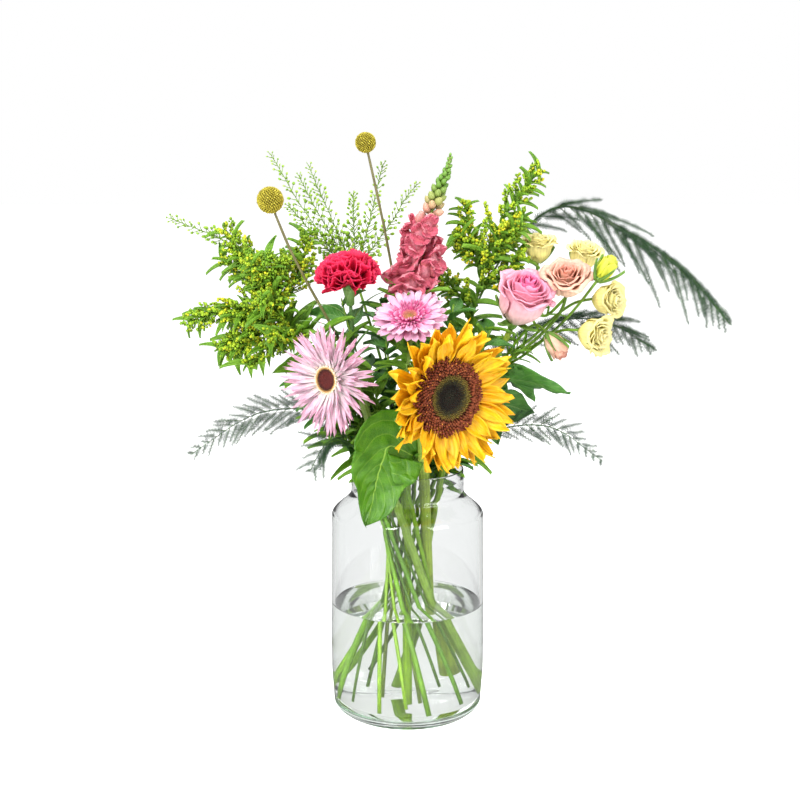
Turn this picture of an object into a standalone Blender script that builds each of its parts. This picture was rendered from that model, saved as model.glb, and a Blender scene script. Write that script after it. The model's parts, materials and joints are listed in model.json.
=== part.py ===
"""A mixed bouquet around one sunflower, standing in water in a clear glass vase with a short wide neck.

Run it with:  blender --background --python part.py

The frame has its origin at the middle of the vase's flat foot, +Z up and the bouquet's front towards -Y.
All sizes are in metres and all angles in degrees unless a name says otherwise.
"""

import math
from collections import namedtuple

import bmesh
import bpy
from mathutils import Vector

# ---------------------------------------------------------------- vase and water
VASE_HEIGHT = 0.250
VASE_RADIUS = 0.077
NECK_RADIUS = 0.056
NECK_HEIGHT = 0.026
SHOULDER_HEIGHT = 0.034
GLASS_WALL = 0.003
GLASS_BASE = 0.008
FOOT_CORNER = 0.020
WATER_LEVEL = 0.113
ROUND_STEPS = 40

# ---------------------------------------------------------------- the bunch
GAP = 0.0004
INNER_RING = 0.0118
OUTER_RING = 0.0198
NECK_CLEARANCE = 0.0113
FOOT_CLEARANCE = 0.0153
FLOOR_CLEARANCE = 0.004
EXIT_ABOVE_RIM = 0.012
STRAIGHT_END = 0.004
BARE_SHARE = 0.3
LEAF_CLEARANCE = 0.0018

# ---------------------------------------------------------------- flower heads
SUNFLOWER_DISC = 0.037
SUNFLOWER_SPAN = 0.077
SPIDER_DISC = 0.012
SPIDER_SPAN = 0.054
GERBERA_TUFT = 0.019
GERBERA_SPAN = 0.036
CARNATION_RADIUS = 0.032
CARNATION_HEIGHT = 0.030
ROSE_RADIUS = 0.027
ROSE_HEIGHT = 0.056
LARGE_BALL = 0.0132
SMALL_BALL = 0.0105

SUNFLOWER_BACK = 0.022

# The bunch is a spiral: every stem leans the same way round, most at the outside. Its spread fills the
# neck at the rim and the body at the floor, and that sets the twist and the height of the tie.
SPREAD_AT_RIM = (NECK_RADIUS - GLASS_WALL - NECK_CLEARANCE) / OUTER_RING
SPREAD_AT_FOOT = (VASE_RADIUS - GLASS_WALL - FOOT_CLEARANCE) / OUTER_RING
TURN_AT_RIM = math.sqrt(SPREAD_AT_RIM**2 - 1)
TURN_AT_FOOT = math.sqrt(SPREAD_AT_FOOT**2 - 1)
BUNCH_FLOOR = GLASS_BASE + FLOOR_CLEARANCE
TWIST_PER_METRE = (TURN_AT_RIM + TURN_AT_FOOT) / (VASE_HEIGHT - BUNCH_FLOOR)
TIE_HEIGHT = BUNCH_FLOOR + TURN_AT_FOOT / TWIST_PER_METRE

Stem = namedtuple("Stem", "ring azimuth foot thick")
Head = namedtuple("Head", "centre axis")

# Each stem's place in the bunch: its ring, its way out over the rim, its cut foot over the floor, its radius.
STEMS = {
    "sunflower": Stem(OUTER_RING, -68, 0.018, 0.0055),
    "pink_gerbera": Stem(OUTER_RING, -95, 0.002, 0.0024),
    "spider_gerbera": Stem(OUTER_RING, -121, 0.004, 0.0044),
    "fern_front": Stem(OUTER_RING, -144, 0.018, 0.0014),
    "carnation": Stem(OUTER_RING, -164, 0.006, 0.0023),
    "fern_left": Stem(OUTER_RING, 177, 0.028, 0.0016),
    "goldenrod_left": Stem(OUTER_RING, 158, 0.002, 0.0025),
    "pennycress_left": Stem(OUTER_RING, 138, 0.010, 0.0017),
    "pennycress_back": Stem(OUTER_RING, 112, 0.004, 0.0019),
    "fern_arch": Stem(OUTER_RING, 80, 0.008, 0.0020),
    "goldenrod_right": Stem(OUTER_RING, 54, 0.002, 0.0026),
    "yellow_lisianthus": Stem(OUTER_RING, 30, 0.006, 0.0024),
    "peach_lisianthus": Stem(OUTER_RING, 8, 0.003, 0.0023),
    "fern_droop": Stem(INNER_RING, 62, 0.018, 0.0014),
    "fern_low_right": Stem(OUTER_RING, -13, 0.022, 0.0016),
    "rose": Stem(OUTER_RING, -36, 0.002, 0.0034),
    "large_craspedia": Stem(INNER_RING, 158, 0.010, 0.0017),
    "small_craspedia": Stem(INNER_RING, 100, 0.014, 0.0016),
    "snapdragon": Stem(0.0, 0, 0.001, 0.0036),
}



def over_rim(x, y, height):
    """A point by its height over the vase's rim, so that the flowers go up with the vase."""
    return Vector((x, y, VASE_HEIGHT + height))


# Where each flower head is, and which way it faces.
HEADS = {
    "sunflower": Head(over_rim(0.036, -0.085, 0.085), Vector((0.55, -0.83, -0.05))),
    "spider_gerbera": Head(over_rim(-0.072, -0.065, 0.098), Vector((-0.61, -0.79, 0.02))),
    "pink_gerbera": Head(over_rim(0.001, -0.058, 0.161), Vector((-0.10, -0.57, 0.82))),
    "carnation": Head(over_rim(-0.058, -0.015, 0.193), Vector((-0.08, -0.28, 0.955))),
    "rose": Head(over_rim(0.110, -0.022, 0.169), Vector((0.27, -0.50, 0.82))),
    "large_craspedia": Head(over_rim(-0.130, -0.020, 0.262), Vector((-0.33, -0.05, 0.94))),
    "small_craspedia": Head(over_rim(-0.041, 0.030, 0.316), Vector((-0.22, -0.02, 0.97))),
    "peach_bloom": Head(over_rim(0.153, -0.006, 0.185), Vector((-0.05, -0.62, 0.78))),
    "peach_bud": Head(over_rim(0.143, -0.022, 0.122), Vector((0.55, -0.35, -0.75))),
    "yellow_bloom_top": Head(over_rim(0.174, 0.034, 0.206), Vector((0.15, -0.35, 0.92))),
    "yellow_bloom_back": Head(over_rim(0.130, 0.046, 0.213), Vector((0.0, -0.25, 0.97))),
    "yellow_bloom_right": Head(over_rim(0.192, -0.010, 0.167), Vector((0.70, -0.62, 0.05))),
    "yellow_bloom_low": Head(over_rim(0.176, -0.036, 0.137), Vector((0.72, -0.62, -0.10))),
    "green_bud": Head(over_rim(0.189, -0.022, 0.199), Vector((0.55, -0.15, 0.82))),
}


def main():
    clear_scene()
    parts = new_collection("sunflower_bouquet")
    helpers = new_collection("cutters")
    helpers.hide_render = True
    vase(parts)
    water(parts, helpers)
    sunflower(parts)
    spider_gerbera(parts)
    pink_gerbera(parts)
    carnation(parts)
    snapdragon(parts)
    rose(parts)
    lisianthus(parts)
    craspedia(parts)
    goldenrod(parts)
    ferns(parts)
    pennycress(parts)


# ================================================================ scene and materials
def clear_scene():
    for obj in list(bpy.data.objects):
        bpy.data.objects.remove(obj)


def new_collection(name):
    made = bpy.data.collections.new(name)
    bpy.context.scene.collection.children.link(made)
    return made


FINISHES = {
    "clear_glass": ((0.86, 0.92, 0.90), 0.03),
    "water": ((0.80, 0.90, 0.87), 0.02),
    "sunflower_yellow": ((0.95, 0.55, 0.02), 0.6),
    "sunflower_brown": ((0.16, 0.05, 0.02), 0.9),
    "pale_pink": ((0.85, 0.52, 0.66), 0.6),
    "gerbera_maroon": ((0.13, 0.02, 0.03), 0.9),
    "gerbera_pink": ((0.88, 0.38, 0.62), 0.6),
    "carnation_red": ((0.76, 0.03, 0.17), 0.7),
    "dusty_pink": ((0.68, 0.22, 0.30), 0.7),
    "rose_pink": ((0.89, 0.32, 0.56), 0.6),
    "peach": ((0.87, 0.52, 0.40), 0.6),
    "cream_yellow": ((0.90, 0.86, 0.42), 0.6),
    "bud_green": ((0.60, 0.74, 0.08), 0.5),
    "ball_yellow": ((0.62, 0.58, 0.10), 0.8),
    "goldenrod": ((0.55, 0.60, 0.05), 0.8),
    "stem_green": ((0.22, 0.42, 0.07), 0.5),
    "leaf_green": ((0.10, 0.30, 0.05), 0.5),
    "fern_green": ((0.06, 0.20, 0.09), 0.6),
    "pennycress_green": ((0.30, 0.50, 0.10), 0.6),
}


def paint(obj, finish):
    """Gives the object its own material, in the named finish."""
    colour, roughness = FINISHES[finish]
    material = bpy.data.materials.new(obj.name)
    material.use_nodes = True
    shader = material.node_tree.nodes["Principled BSDF"]
    shader.inputs["Base Color"].default_value = (*colour, 1)
    shader.inputs["Roughness"].default_value = roughness
    if finish in ("clear_glass", "water"):
        shader.inputs["Transmission Weight"].default_value = 1
    obj.data.materials.clear()
    obj.data.materials.append(material)
    return obj


# ================================================================ shapes
def smooth_path(points, steps):
    """A Catmull-Rom curve through the points, with that many steps between each two."""
    knots = [2 * points[0] - points[1], *points, 2 * points[-1] - points[-2]]
    path = []
    for i in range(1, len(knots) - 2):
        for step in range(steps):
            path.append(catmull_rom(knots[i - 1 : i + 3], step / steps))
    return [*path, points[-1]]


def catmull_rom(knots, t):
    before, start, end, after = knots
    return 0.5 * (
        2 * start
        + (end - before) * t
        + (2 * before - 5 * start + 4 * end - after) * t**2
        + (3 * start - before - 3 * end + after) * t**3
    )


def hermite(start, start_pull, end, end_pull, steps):
    """A cubic from start to end that leaves along start_pull and arrives along end_pull."""
    path = []
    for step in range(1, steps + 1):
        t = step / steps
        path.append(
            (2 * t**3 - 3 * t**2 + 1) * start
            + (t**3 - 2 * t**2 + t) * start_pull
            + (3 * t**2 - 2 * t**3) * end
            + (t**3 - t**2) * end_pull
        )
    return path


def tube(collection, name, path, radii, sides=8):
    """A round stem along the path, as a curve with filled caps."""
    curve = bpy.data.curves.new(name, "CURVE")
    curve.dimensions = "3D"
    curve.bevel_depth = 1.0
    curve.bevel_resolution = (sides - 4) // 2
    curve.use_fill_caps = True
    spline = curve.splines.new("POLY")
    spline.points.add(len(path) - 1)
    for point, place, radius in zip(spline.points, path, radii):
        point.co = (*place, 1)
        point.radius = radius
    obj = bpy.data.objects.new(name, curve)
    collection.objects.link(obj)
    return obj


def as_mesh(obj, collection):
    """The same object as a mesh with its caps welded, in place of the curve."""
    graph = bpy.context.evaluated_depsgraph_get()
    mesh = bpy.data.meshes.new_from_object(obj.evaluated_get(graph))
    work = bmesh.new()
    work.from_mesh(mesh)
    bmesh.ops.remove_doubles(work, verts=work.verts, dist=1e-6)
    work.to_mesh(mesh)
    work.free()
    name = obj.name
    made = bpy.data.objects.new(name, mesh)
    made.matrix_world = obj.matrix_world
    collection.objects.link(made)
    bpy.data.objects.remove(obj)
    made.name = name
    return made


def spindle(collection, name, path, widest, start=0.0012, tip=0.0016, peak=0.45, sides=8):
    """A plume that swells from start to widest and closes again to its tip."""
    last = len(path) - 1
    radii = []
    for i in range(len(path)):
        along = i / last
        swell = along / peak if along < peak else (1 - along) / (1 - peak)
        end = start if along < peak else tip
        radii.append(end + (widest - end) * math.sin(0.5 * math.pi * swell))
    return tube(collection, name, path, radii, sides)


def turned(collection, name, profile, head, steps=20):
    """A solid of revolution on the head's axis, from a profile of (radius, height) that ends on the axis."""
    mesh = bpy.data.meshes.new(name)
    edges = [(i, i + 1) for i in range(len(profile) - 1)]
    mesh.from_pydata([(r, 0, z) for r, z in profile], edges, [])
    obj = bpy.data.objects.new(name, mesh)
    collection.objects.link(obj)
    screw = obj.modifiers.new("Turn", "SCREW")
    screw.steps = screw.render_steps = steps
    screw.use_merge_vertices = True
    screw.merge_threshold = 1e-5
    screw.use_smooth_shade = True
    stand(obj, head)
    return obj


def stand(obj, head):
    """Puts the object's own origin at the head's centre and its +Z along the head's axis."""
    obj.location = head.centre
    obj.rotation_mode = "QUATERNION"
    obj.rotation_quaternion = head.axis.to_track_quat("Z", "Y")


def solidify(obj, thickness):
    shell = obj.modifiers.new("Thickness", "SOLIDIFY")
    shell.thickness = thickness
    shell.offset = 0


def petal_ring(collection, name, head, petals, inner, outer, depth, cup, thickness=0.0012):
    """A ring of pointed rays joined at their feet, cupped towards the front by an angle."""
    per_petal = 4
    around = petals * per_petal
    shares = (1 - depth, 0.88, 1.0, 0.88)
    work = bmesh.new()
    rows = []
    for row_share in (0.0, 0.45, 1.0):
        row = []
        for i in range(around):
            angle = 2 * math.pi * i / around
            span = outer * shares[i % per_petal] if row_share == 1 else outer
            radius = inner + (span - inner) * row_share
            rise = (radius - inner) * math.tan(math.radians(cup))
            row.append(work.verts.new((radius * math.cos(angle), radius * math.sin(angle), rise)))
        rows.append(row)
    for low, high in zip(rows, rows[1:]):
        for i in range(around):
            j = (i + 1) % around
            work.faces.new((low[i], high[i], high[j], low[j]))
    mesh = bpy.data.meshes.new(name)
    work.to_mesh(mesh)
    work.free()
    obj = bpy.data.objects.new(name, mesh)
    collection.objects.link(obj)
    solidify(obj, thickness)
    stand(obj, head)
    return obj


def leaf(collection, name, spine, width, facing, thickness=0.0012, widest=0.4, fold=12):
    """A blade along the spine, widest at that share of its length, folded a little along its midrib."""
    work = bmesh.new()
    path = smooth_path(spine, 3)
    across = (-1, -0.5, 0, 0.5, 1)
    bmesh.ops.create_grid(work, x_segments=len(across) - 1, y_segments=len(path) - 1, size=1)
    work.verts.ensure_lookup_table()
    grid = sorted(work.verts, key=lambda v: (round(v.co.y, 4), v.co.x))
    for i, place in enumerate(path):
        along = i / (len(path) - 1)
        ahead = (path[min(i + 1, len(path) - 1)] - path[max(i - 1, 0)]).normalized()
        side = ahead.cross(facing).normalized()
        front = side.cross(ahead)
        bulge = math.sin(math.pi * along ** (math.log(0.5) / math.log(widest)))
        half = 0.5 * width * (0.08 + 0.92 * bulge)
        for vert, share in zip(grid[i * len(across) : (i + 1) * len(across)], across):
            lift = abs(share) * half * math.sin(math.radians(fold))
            vert.co = place + side * (half * share) + front * lift
    mesh = bpy.data.meshes.new(name)
    work.to_mesh(mesh)
    work.free()
    obj = bpy.data.objects.new(name, mesh)
    collection.objects.link(obj)
    solidify(obj, thickness)
    return obj


def boolean(obj, other, operation):
    """Cuts or joins at once, and keeps the result as the object's mesh."""
    modifier = obj.modifiers.new(operation.title(), "BOOLEAN")
    modifier.operation = operation
    modifier.solver = "EXACT"
    modifier.object = other
    graph = bpy.context.evaluated_depsgraph_get()
    mesh = bpy.data.meshes.new_from_object(obj.evaluated_get(graph))
    obj.modifiers.clear()
    obj.data = mesh


# ================================================================ the vase
def corner(centre_radius, centre_height, radius, start, end, steps):
    """Points of a quarter-like arc in the profile plane, between two angles in degrees."""
    points = []
    for step in range(steps + 1):
        angle = math.radians(start + (end - start) * step / steps)
        points.append((centre_radius + radius * math.cos(angle), centre_height + radius * math.sin(angle)))
    return points


def shoulder(inset, steps=5):
    """The S-shaped run from the neck out to the body, taken in by the inset."""
    top = VASE_HEIGHT - NECK_HEIGHT
    points = []
    for step in range(steps + 1):
        share = step / steps
        ease = share * share * (3 - 2 * share)
        radius = NECK_RADIUS + (VASE_RADIUS - NECK_RADIUS) * ease
        points.append((radius - inset, top - SHOULDER_HEIGHT * share))
    return points


def vase(collection):
    """One piece of glass: foot, rounded corner, straight body, shoulder, neck and a rounded rim."""
    inner_corner = FOOT_CORNER - GLASS_WALL
    middle = NECK_RADIUS - GLASS_WALL / 2
    rim = corner(middle, VASE_HEIGHT - GLASS_WALL / 2, GLASS_WALL / 2, 180, 0, 4)
    outside = [
        *rim,
        *shoulder(0),
        *corner(VASE_RADIUS - FOOT_CORNER, FOOT_CORNER, FOOT_CORNER, 0, -90, 5),
        (0, 0),
    ]
    inside = [
        (0, GLASS_BASE),
        *corner(VASE_RADIUS - FOOT_CORNER, GLASS_BASE + inner_corner, inner_corner, -90, 0, 5),
        *reversed(shoulder(GLASS_WALL)),
    ]
    upright = Head(Vector((0, 0, 0)), Vector((0, 0, 1)))
    return paint(turned(collection, "vase", [*inside, *outside], upright, ROUND_STEPS), "clear_glass")


def water(collection, helpers):
    """The water, from the glass floor to its level, with each stem's way through it left free."""
    inner_corner = FOOT_CORNER - GLASS_WALL
    side = VASE_RADIUS - FOOT_CORNER
    profile = [
        (0, WATER_LEVEL),
        (VASE_RADIUS - GLASS_WALL - GAP, WATER_LEVEL),
        *corner(side, GLASS_BASE + inner_corner, inner_corner - GAP, 0, -90, 5),
        (0, GLASS_BASE + GAP),
    ]
    upright = Head(Vector((0, 0, 0)), Vector((0, 0, 1)))
    body = turned(collection, "water", profile, upright, ROUND_STEPS)
    for name, stem in STEMS.items():
        foot, tie, _ = in_vase(stem)
        below = foot - (tie - foot).normalized() * GAP
        cutter = tube(helpers, "cut_" + name, [below, tie], [stem.thick + GAP] * 2)
        cutter = as_mesh(cutter, helpers)
        cutter.hide_render = True
        cutter.display_type = "WIRE"
        boolean(body, cutter, "DIFFERENCE")
    return paint(body, "water")


# ================================================================ the bunch
def bunch_point(ring, azimuth, height):
    """Where a stem of the spiral bunch is at a height. Every stem leans the same way round, so none meet."""
    angle = math.radians(azimuth) + math.atan(TURN_AT_RIM)
    x, y = ring * math.cos(angle), ring * math.sin(angle)
    turn = TWIST_PER_METRE * (height - TIE_HEIGHT)
    return Vector((x + turn * y, y - turn * x, height))


def leaves_vase(stem):
    """Where a stem clears the rim, and the direction it has there."""
    mouth = bunch_point(stem.ring, stem.azimuth, VASE_HEIGHT + EXIT_ABOVE_RIM)
    ahead = mouth - bunch_point(stem.ring, stem.azimuth, TIE_HEIGHT)
    return mouth, ahead.normalized()


def in_vase(stem):
    """The straight run of a stem from its cut foot in the water to just above the rim."""
    tie = bunch_point(stem.ring, stem.azimuth, TIE_HEIGHT)
    return [bunch_point(stem.ring, stem.azimuth, BUNCH_FLOOR + stem.foot), tie, leaves_vase(stem)[0]]


def stem_route(stem, reach, toward, leave_pull=1.0, arrive_pull=1.0, steps=8):
    """The straight run, then one sweep that arrives at the reach along the given direction."""
    mouth, ahead = leaves_vase(stem)
    toward = toward.normalized()
    before = reach - toward * STRAIGHT_END
    span = (before - mouth).length
    sweep = hermite(mouth, ahead * span * leave_pull, before, toward * span * arrive_pull, steps)
    return [*in_vase(stem), *sweep, reach]


def taper(path, thick, thin):
    """A radius for each point of the path, from thick to thin."""
    last = len(path) - 1
    return [thick + (thin - thick) * i / last for i in range(last + 1)]


def behind(name, distance):
    """The point that far behind a flower head, on its axis."""
    head = HEADS[name]
    return head.centre - head.axis.normalized() * distance


def to_head(collection, name, stem, thin, distance, leave_pull=1.0, arrive_pull=1.0):
    """A stem that ends behind its flower head. Returns what the water needs to know of it."""
    path = stem_route(stem, behind(name, distance + GAP), HEADS[name].axis, leave_pull, arrive_pull)
    paint(tube(collection, name + "_stem", path, taper(path, stem.thick, thin)), "stem_green")
    return path


def on_axis(head, height):
    """The same head, moved along its own axis."""
    return Head(head.centre + head.axis.normalized() * height, head.axis)


def beside(path, at, way, distance):
    """The point that far from the middle of a stem, squarely out from one of its points on the given side."""
    along = (path[at + 1] - path[at - 1]).normalized()
    out = way - along * way.dot(along)
    return path[at] + out.normalized() * distance


def side_leaf(collection, name, stem, path, at, way, length, width, facing):
    """A leaf that leaves its stem at one of the stem's points, and droops a little towards its tip."""
    way = way.normalized()
    start = beside(path, at, way, stem.thick + LEAF_CLEARANCE)
    sag = Vector((0, 0, -0.22 * length))
    spine = [start, start + way * (0.45 * length), start + way * length + sag]
    return paint(leaf(collection, name, spine, width, facing), "leaf_green")


def joined(pieces, name):
    """The pieces as one body under one name."""
    first = pieces[0]
    for piece in pieces[1:]:
        boolean(first, piece, "UNION")
        bpy.data.objects.remove(piece)
    first.name = name
    return first


# ================================================================ the flowers
def sunflower(collection):
    head = HEADS["sunflower"]
    path = to_head(collection, "sunflower", STEMS["sunflower"], 0.0048, SUNFLOWER_BACK, 1.0, 0.75)
    r = SUNFLOWER_DISC
    disc = [(0, 0.004), (0.45 * r, 0.005), (0.8 * r, 0.006), (r, 0.001), (r, -0.004)]
    disc += [(0.9 * r, -0.006), (0, -0.006)]
    paint(turned(collection, "sunflower_disc", disc, head, 28), "sunflower_brown")
    top = -0.006 - GAP
    cup = [(0, top), (0.9 * r, top), (0.98 * r, top - 0.002), (0.5 * r, -0.015), (0.0075, -0.020)]
    cup += [(0.0060, -SUNFLOWER_BACK), (0, -SUNFLOWER_BACK)]
    paint(turned(collection, "sunflower_bracts", cup, head, 24), "leaf_green")
    base = on_axis(head, -0.0025)
    rays = petal_ring(collection, "sunflower_rays", base, 24, r + GAP, SUNFLOWER_SPAN, 0.30, 14)
    paint(rays, "sunflower_yellow")
    start = beside(path, 3, Vector((-0.72, -0.66, 0.22)), STEMS["sunflower"].thick + LEAF_CLEARANCE)
    spine = [start, over_rim(-0.006, -0.072, 0.052), over_rim(-0.022, -0.088, 0.012)]
    spine.append(over_rim(-0.036, -0.086, -0.038))
    paint(leaf(collection, "sunflower_leaf", spine, 0.058, Vector((0.2, 1, 0.1)), widest=0.45), "leaf_green")


def spider_gerbera(collection):
    head = HEADS["spider_gerbera"]
    to_head(collection, "spider_gerbera", STEMS["spider_gerbera"], 0.0038, 0.0125, 1.0, 0.9)
    r = SPIDER_DISC
    disc = [(0, 0.003), (0.6 * r, 0.004), (r, 0.001), (r, -0.003), (0.75 * r, -0.008)]
    disc += [(0.004, -0.0125), (0, -0.0125)]
    paint(turned(collection, "spider_gerbera_disc", disc, head), "gerbera_maroon")
    base = on_axis(head, -0.001)
    rays = petal_ring(collection, "spider_gerbera_rays", base, 22, r + GAP, SPIDER_SPAN, 0.45, 9)
    paint(rays, "pale_pink")


def pink_gerbera(collection):
    head = HEADS["pink_gerbera"]
    to_head(collection, "pink_gerbera", STEMS["pink_gerbera"], 0.0016, 0.0130, 1.0, 0.8)
    r = GERBERA_TUFT
    tuft = [(0, 0.004), (0.6 * r, 0.007), (r, 0.003), (r, -0.002), (0.5 * r, -0.007)]
    tuft += [(0.003, -0.013), (0, -0.013)]
    paint(turned(collection, "pink_gerbera_tuft", tuft, head), "gerbera_pink")
    rays = petal_ring(collection, "pink_gerbera_rays", head, 18, r + GAP, GERBERA_SPAN, 0.14, 16)
    paint(rays, "gerbera_pink")


def carnation(collection):
    head = HEADS["carnation"]
    to_head(collection, "carnation", STEMS["carnation"], 0.0018, 0.5 * CARNATION_HEIGHT + 0.022 + GAP)
    r, half = CARNATION_RADIUS, 0.5 * CARNATION_HEIGHT
    petals = [(0, half), (0.5 * r, 0.95 * half), (0.85 * r, 0.5 * half), (r, -0.1 * half)]
    petals += [(0.9 * r, -0.45 * half), (0.35 * r, -0.8 * half), (0.006, -half), (0, -half)]
    paint(turned(collection, "carnation_petals", petals, head, 24), "carnation_red")
    cup = on_axis(head, -half - GAP)
    calyx = [(0, 0), (0.0062, 0), (0.0064, -0.012), (0.0045, -0.019), (0.003, -0.022), (0, -0.022)]
    paint(turned(collection, "carnation_calyx", calyx, cup, 14), "stem_green")


def snapdragon(collection):
    stem = STEMS["snapdragon"]
    foot, tip = over_rim(0.002, 0.000, 0.162), over_rim(0.0425, 0.010, 0.3015)
    path = stem_route(stem, foot, Vector((0.16, 0.02, 1)))
    paint(tube(collection, "snapdragon_stem", path, taper(path, stem.thick, 0.0020)), "stem_green")
    middle = over_rim(0.0185, 0.006, 0.238)
    low = smooth_path([foot, over_rim(0.008, 0.003, 0.200), middle], 4)
    step = (low[1] - low[0]).normalized() * GAP
    florets = [low[0] + step, *low[1:]]
    radii = [0.004, 0.014, 0.022, 0.025, 0.026, 0.026, 0.022, 0.015, 0.006]
    paint(tube(collection, "snapdragon_florets", florets, radii), "dusty_pink")
    high = smooth_path([middle, over_rim(0.030, 0.008, 0.270), tip], 3)
    high[0] = high[0] + (high[1] - high[0]).normalized() * 2 * GAP
    radii = [0.005, 0.011, 0.0105, 0.0085, 0.006, 0.004, 0.0018]
    paint(tube(collection, "snapdragon_buds", high, radii), "stem_green")


def rose(collection):
    head = HEADS["rose"]
    half, r = 0.5 * ROSE_HEIGHT, ROSE_RADIUS
    path = to_head(collection, "rose", STEMS["rose"], 0.0028, half + 0.010 + GAP)
    bloom = [(0, half), (0.45 * r, 0.97 * half), (0.8 * r, 0.7 * half), (r, 0.2 * half)]
    bloom += [(0.95 * r, -0.35 * half), (0.6 * r, -0.8 * half), (0.2 * r, -half), (0, -half)]
    paint(turned(collection, "rose_bloom", bloom, head, 24), "rose_pink")
    base = on_axis(head, -half - GAP)
    hip = [(0, 0), (0.2 * r, 0), (0.5 * r, -0.001), (0.5 * r, -0.0022), (0.0062, -0.003), (0.0045, -0.008)]
    hip += [(0.003, -0.010), (0, -0.010)]
    paint(turned(collection, "rose_sepals", hip, base, 16), "leaf_green")
    upper, lower = Vector((0.85, -0.50, 0.12)), Vector((0.95, 0.30, 0.16))
    side_leaf(collection, "rose_leaf_upper", STEMS["rose"], path, 7, upper, 0.062, 0.026, Vector((0, 0.6, 0.8)))
    side_leaf(collection, "rose_leaf_lower", STEMS["rose"], path, 5, lower, 0.060, 0.030, Vector((0, 1, 0.3)))


def cup_bloom(collection, name, finish, radius=0.021, height=0.030):
    """A cup-shaped lisianthus flower with an opening into it, and a narrow foot."""
    half = 0.5 * height
    cup = [(0, -0.1 * half), (0.35 * radius, 0.1 * half), (0.72 * radius, 0.85 * half), (0.9 * radius, half)]
    cup += [(radius, 0.8 * half), (0.9 * radius, 0), (0.55 * radius, -0.7 * half)]
    cup += [(0.15 * radius, -half), (0, -half)]
    paint(turned(collection, name, cup, HEADS[name], 18), finish)
    return behind(name, half + GAP)


def tight_bud(collection, name, finish, radius, height):
    half = 0.5 * height
    bud = [(0, half), (0.3 * radius, 0.8 * half), (radius, -0.1 * half), (0.7 * radius, -0.7 * half)]
    bud += [(0.25 * radius, -half), (0, -half)]
    paint(turned(collection, name, bud, HEADS[name], 12), finish)
    return behind(name, half + GAP)


def branch(collection, start, start_way, name, reach, thick=0.0014, thin=0.0011):
    """A side stem from inside the main stem to a flower's foot."""
    before = reach - HEADS[name].axis.normalized() * STRAIGHT_END
    span = (before - start).length
    sweep = hermite(start, start_way.normalized() * span, before, HEADS[name].axis.normalized() * span, 6)
    path = [start, *sweep, reach]
    return as_mesh(tube(collection, name + "_branch", path, taper(path, thick, thin), 6), collection)


def main_stem(collection, stem, fork, way, name, reach):
    """A stem up to its fork and on to its topmost flower. Returns it and its path."""
    path = stem_route(stem, fork, way)
    before = reach - HEADS[name].axis.normalized() * STRAIGHT_END
    span = (before - fork).length
    path += [*hermite(fork, way.normalized() * span, before, HEADS[name].axis.normalized() * span, 6), reach]
    return as_mesh(tube(collection, "main", path, taper(path, stem.thick, 0.0013)), collection), path


def lisianthus(collection):
    peach = cup_bloom(collection, "peach_bloom", "peach", 0.0225, 0.034)
    bud = tight_bud(collection, "peach_bud", "peach", 0.0115, 0.034)
    stem = STEMS["peach_lisianthus"]
    fork, way = over_rim(0.088, 0.012, 0.095), Vector((0.75, -0.35, 0.65))
    main, path = main_stem(collection, stem, fork, way, "peach_bloom", peach)
    side = branch(collection, path[9], Vector((0.8, -0.1, 0.6)), "peach_bud", bud)
    paint(joined([main, side], "peach_lisianthus_stem"), "stem_green")

    feet = {}
    for name in ("yellow_bloom_top", "yellow_bloom_back", "yellow_bloom_right"):
        feet[name] = cup_bloom(collection, name, "cream_yellow", 0.0155, 0.030)
    feet["yellow_bloom_low"] = cup_bloom(collection, "yellow_bloom_low", "cream_yellow", 0.0175, 0.030)
    feet["green_bud"] = tight_bud(collection, "green_bud", "bud_green", 0.0115, 0.032)
    stem = STEMS["yellow_lisianthus"]
    fork, way = over_rim(0.094, 0.038, 0.106), Vector((0.6, 0.05, 0.8))
    main, path = main_stem(collection, stem, fork, way, "yellow_bloom_top", feet["yellow_bloom_top"])
    sides = (
        ("yellow_bloom_low", 9, Vector((0.95, 0.15, 0.05))),
        ("yellow_bloom_right", 10, Vector((0.9, 0.3, 0.2))),
        ("green_bud", 11, Vector((1.0, 0.6, -0.1))),
        ("yellow_bloom_back", 13, Vector((0.3, 0.3, 0.9))),
    )
    pieces = [main]
    for name, at, way in sides:
        pieces.append(branch(collection, path[at], way, name, feet[name]))
    paint(joined(pieces, "yellow_lisianthus_stem"), "stem_green")


def ball(collection, name, radius):
    """A craspedia ball on its bare stem."""
    head = HEADS[name]
    path = to_head(collection, name, STEMS[name], 0.0012, radius, 1.0, 1.0)
    profile = [(radius * math.sin(a), radius * math.cos(a)) for a in [math.pi * i / 10 for i in range(1, 10)]]
    profile = [(0, radius), *profile, (0, -radius)]
    paint(turned(collection, name + "_ball", profile, head, 16), "ball_yellow")
    return path


def craspedia(collection):
    ball(collection, "large_craspedia", LARGE_BALL)
    ball(collection, "small_craspedia", SMALL_BALL)


def plume(collection, name, finish, points, widest, start=0.0012, tip=0.0016, peak=0.6):
    """A flowering spray through points given by their heights over the rim."""
    path = smooth_path([over_rim(*point) for point in points], 4)
    return paint(spindle(collection, name, path, widest, start, tip, peak), finish)


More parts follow.
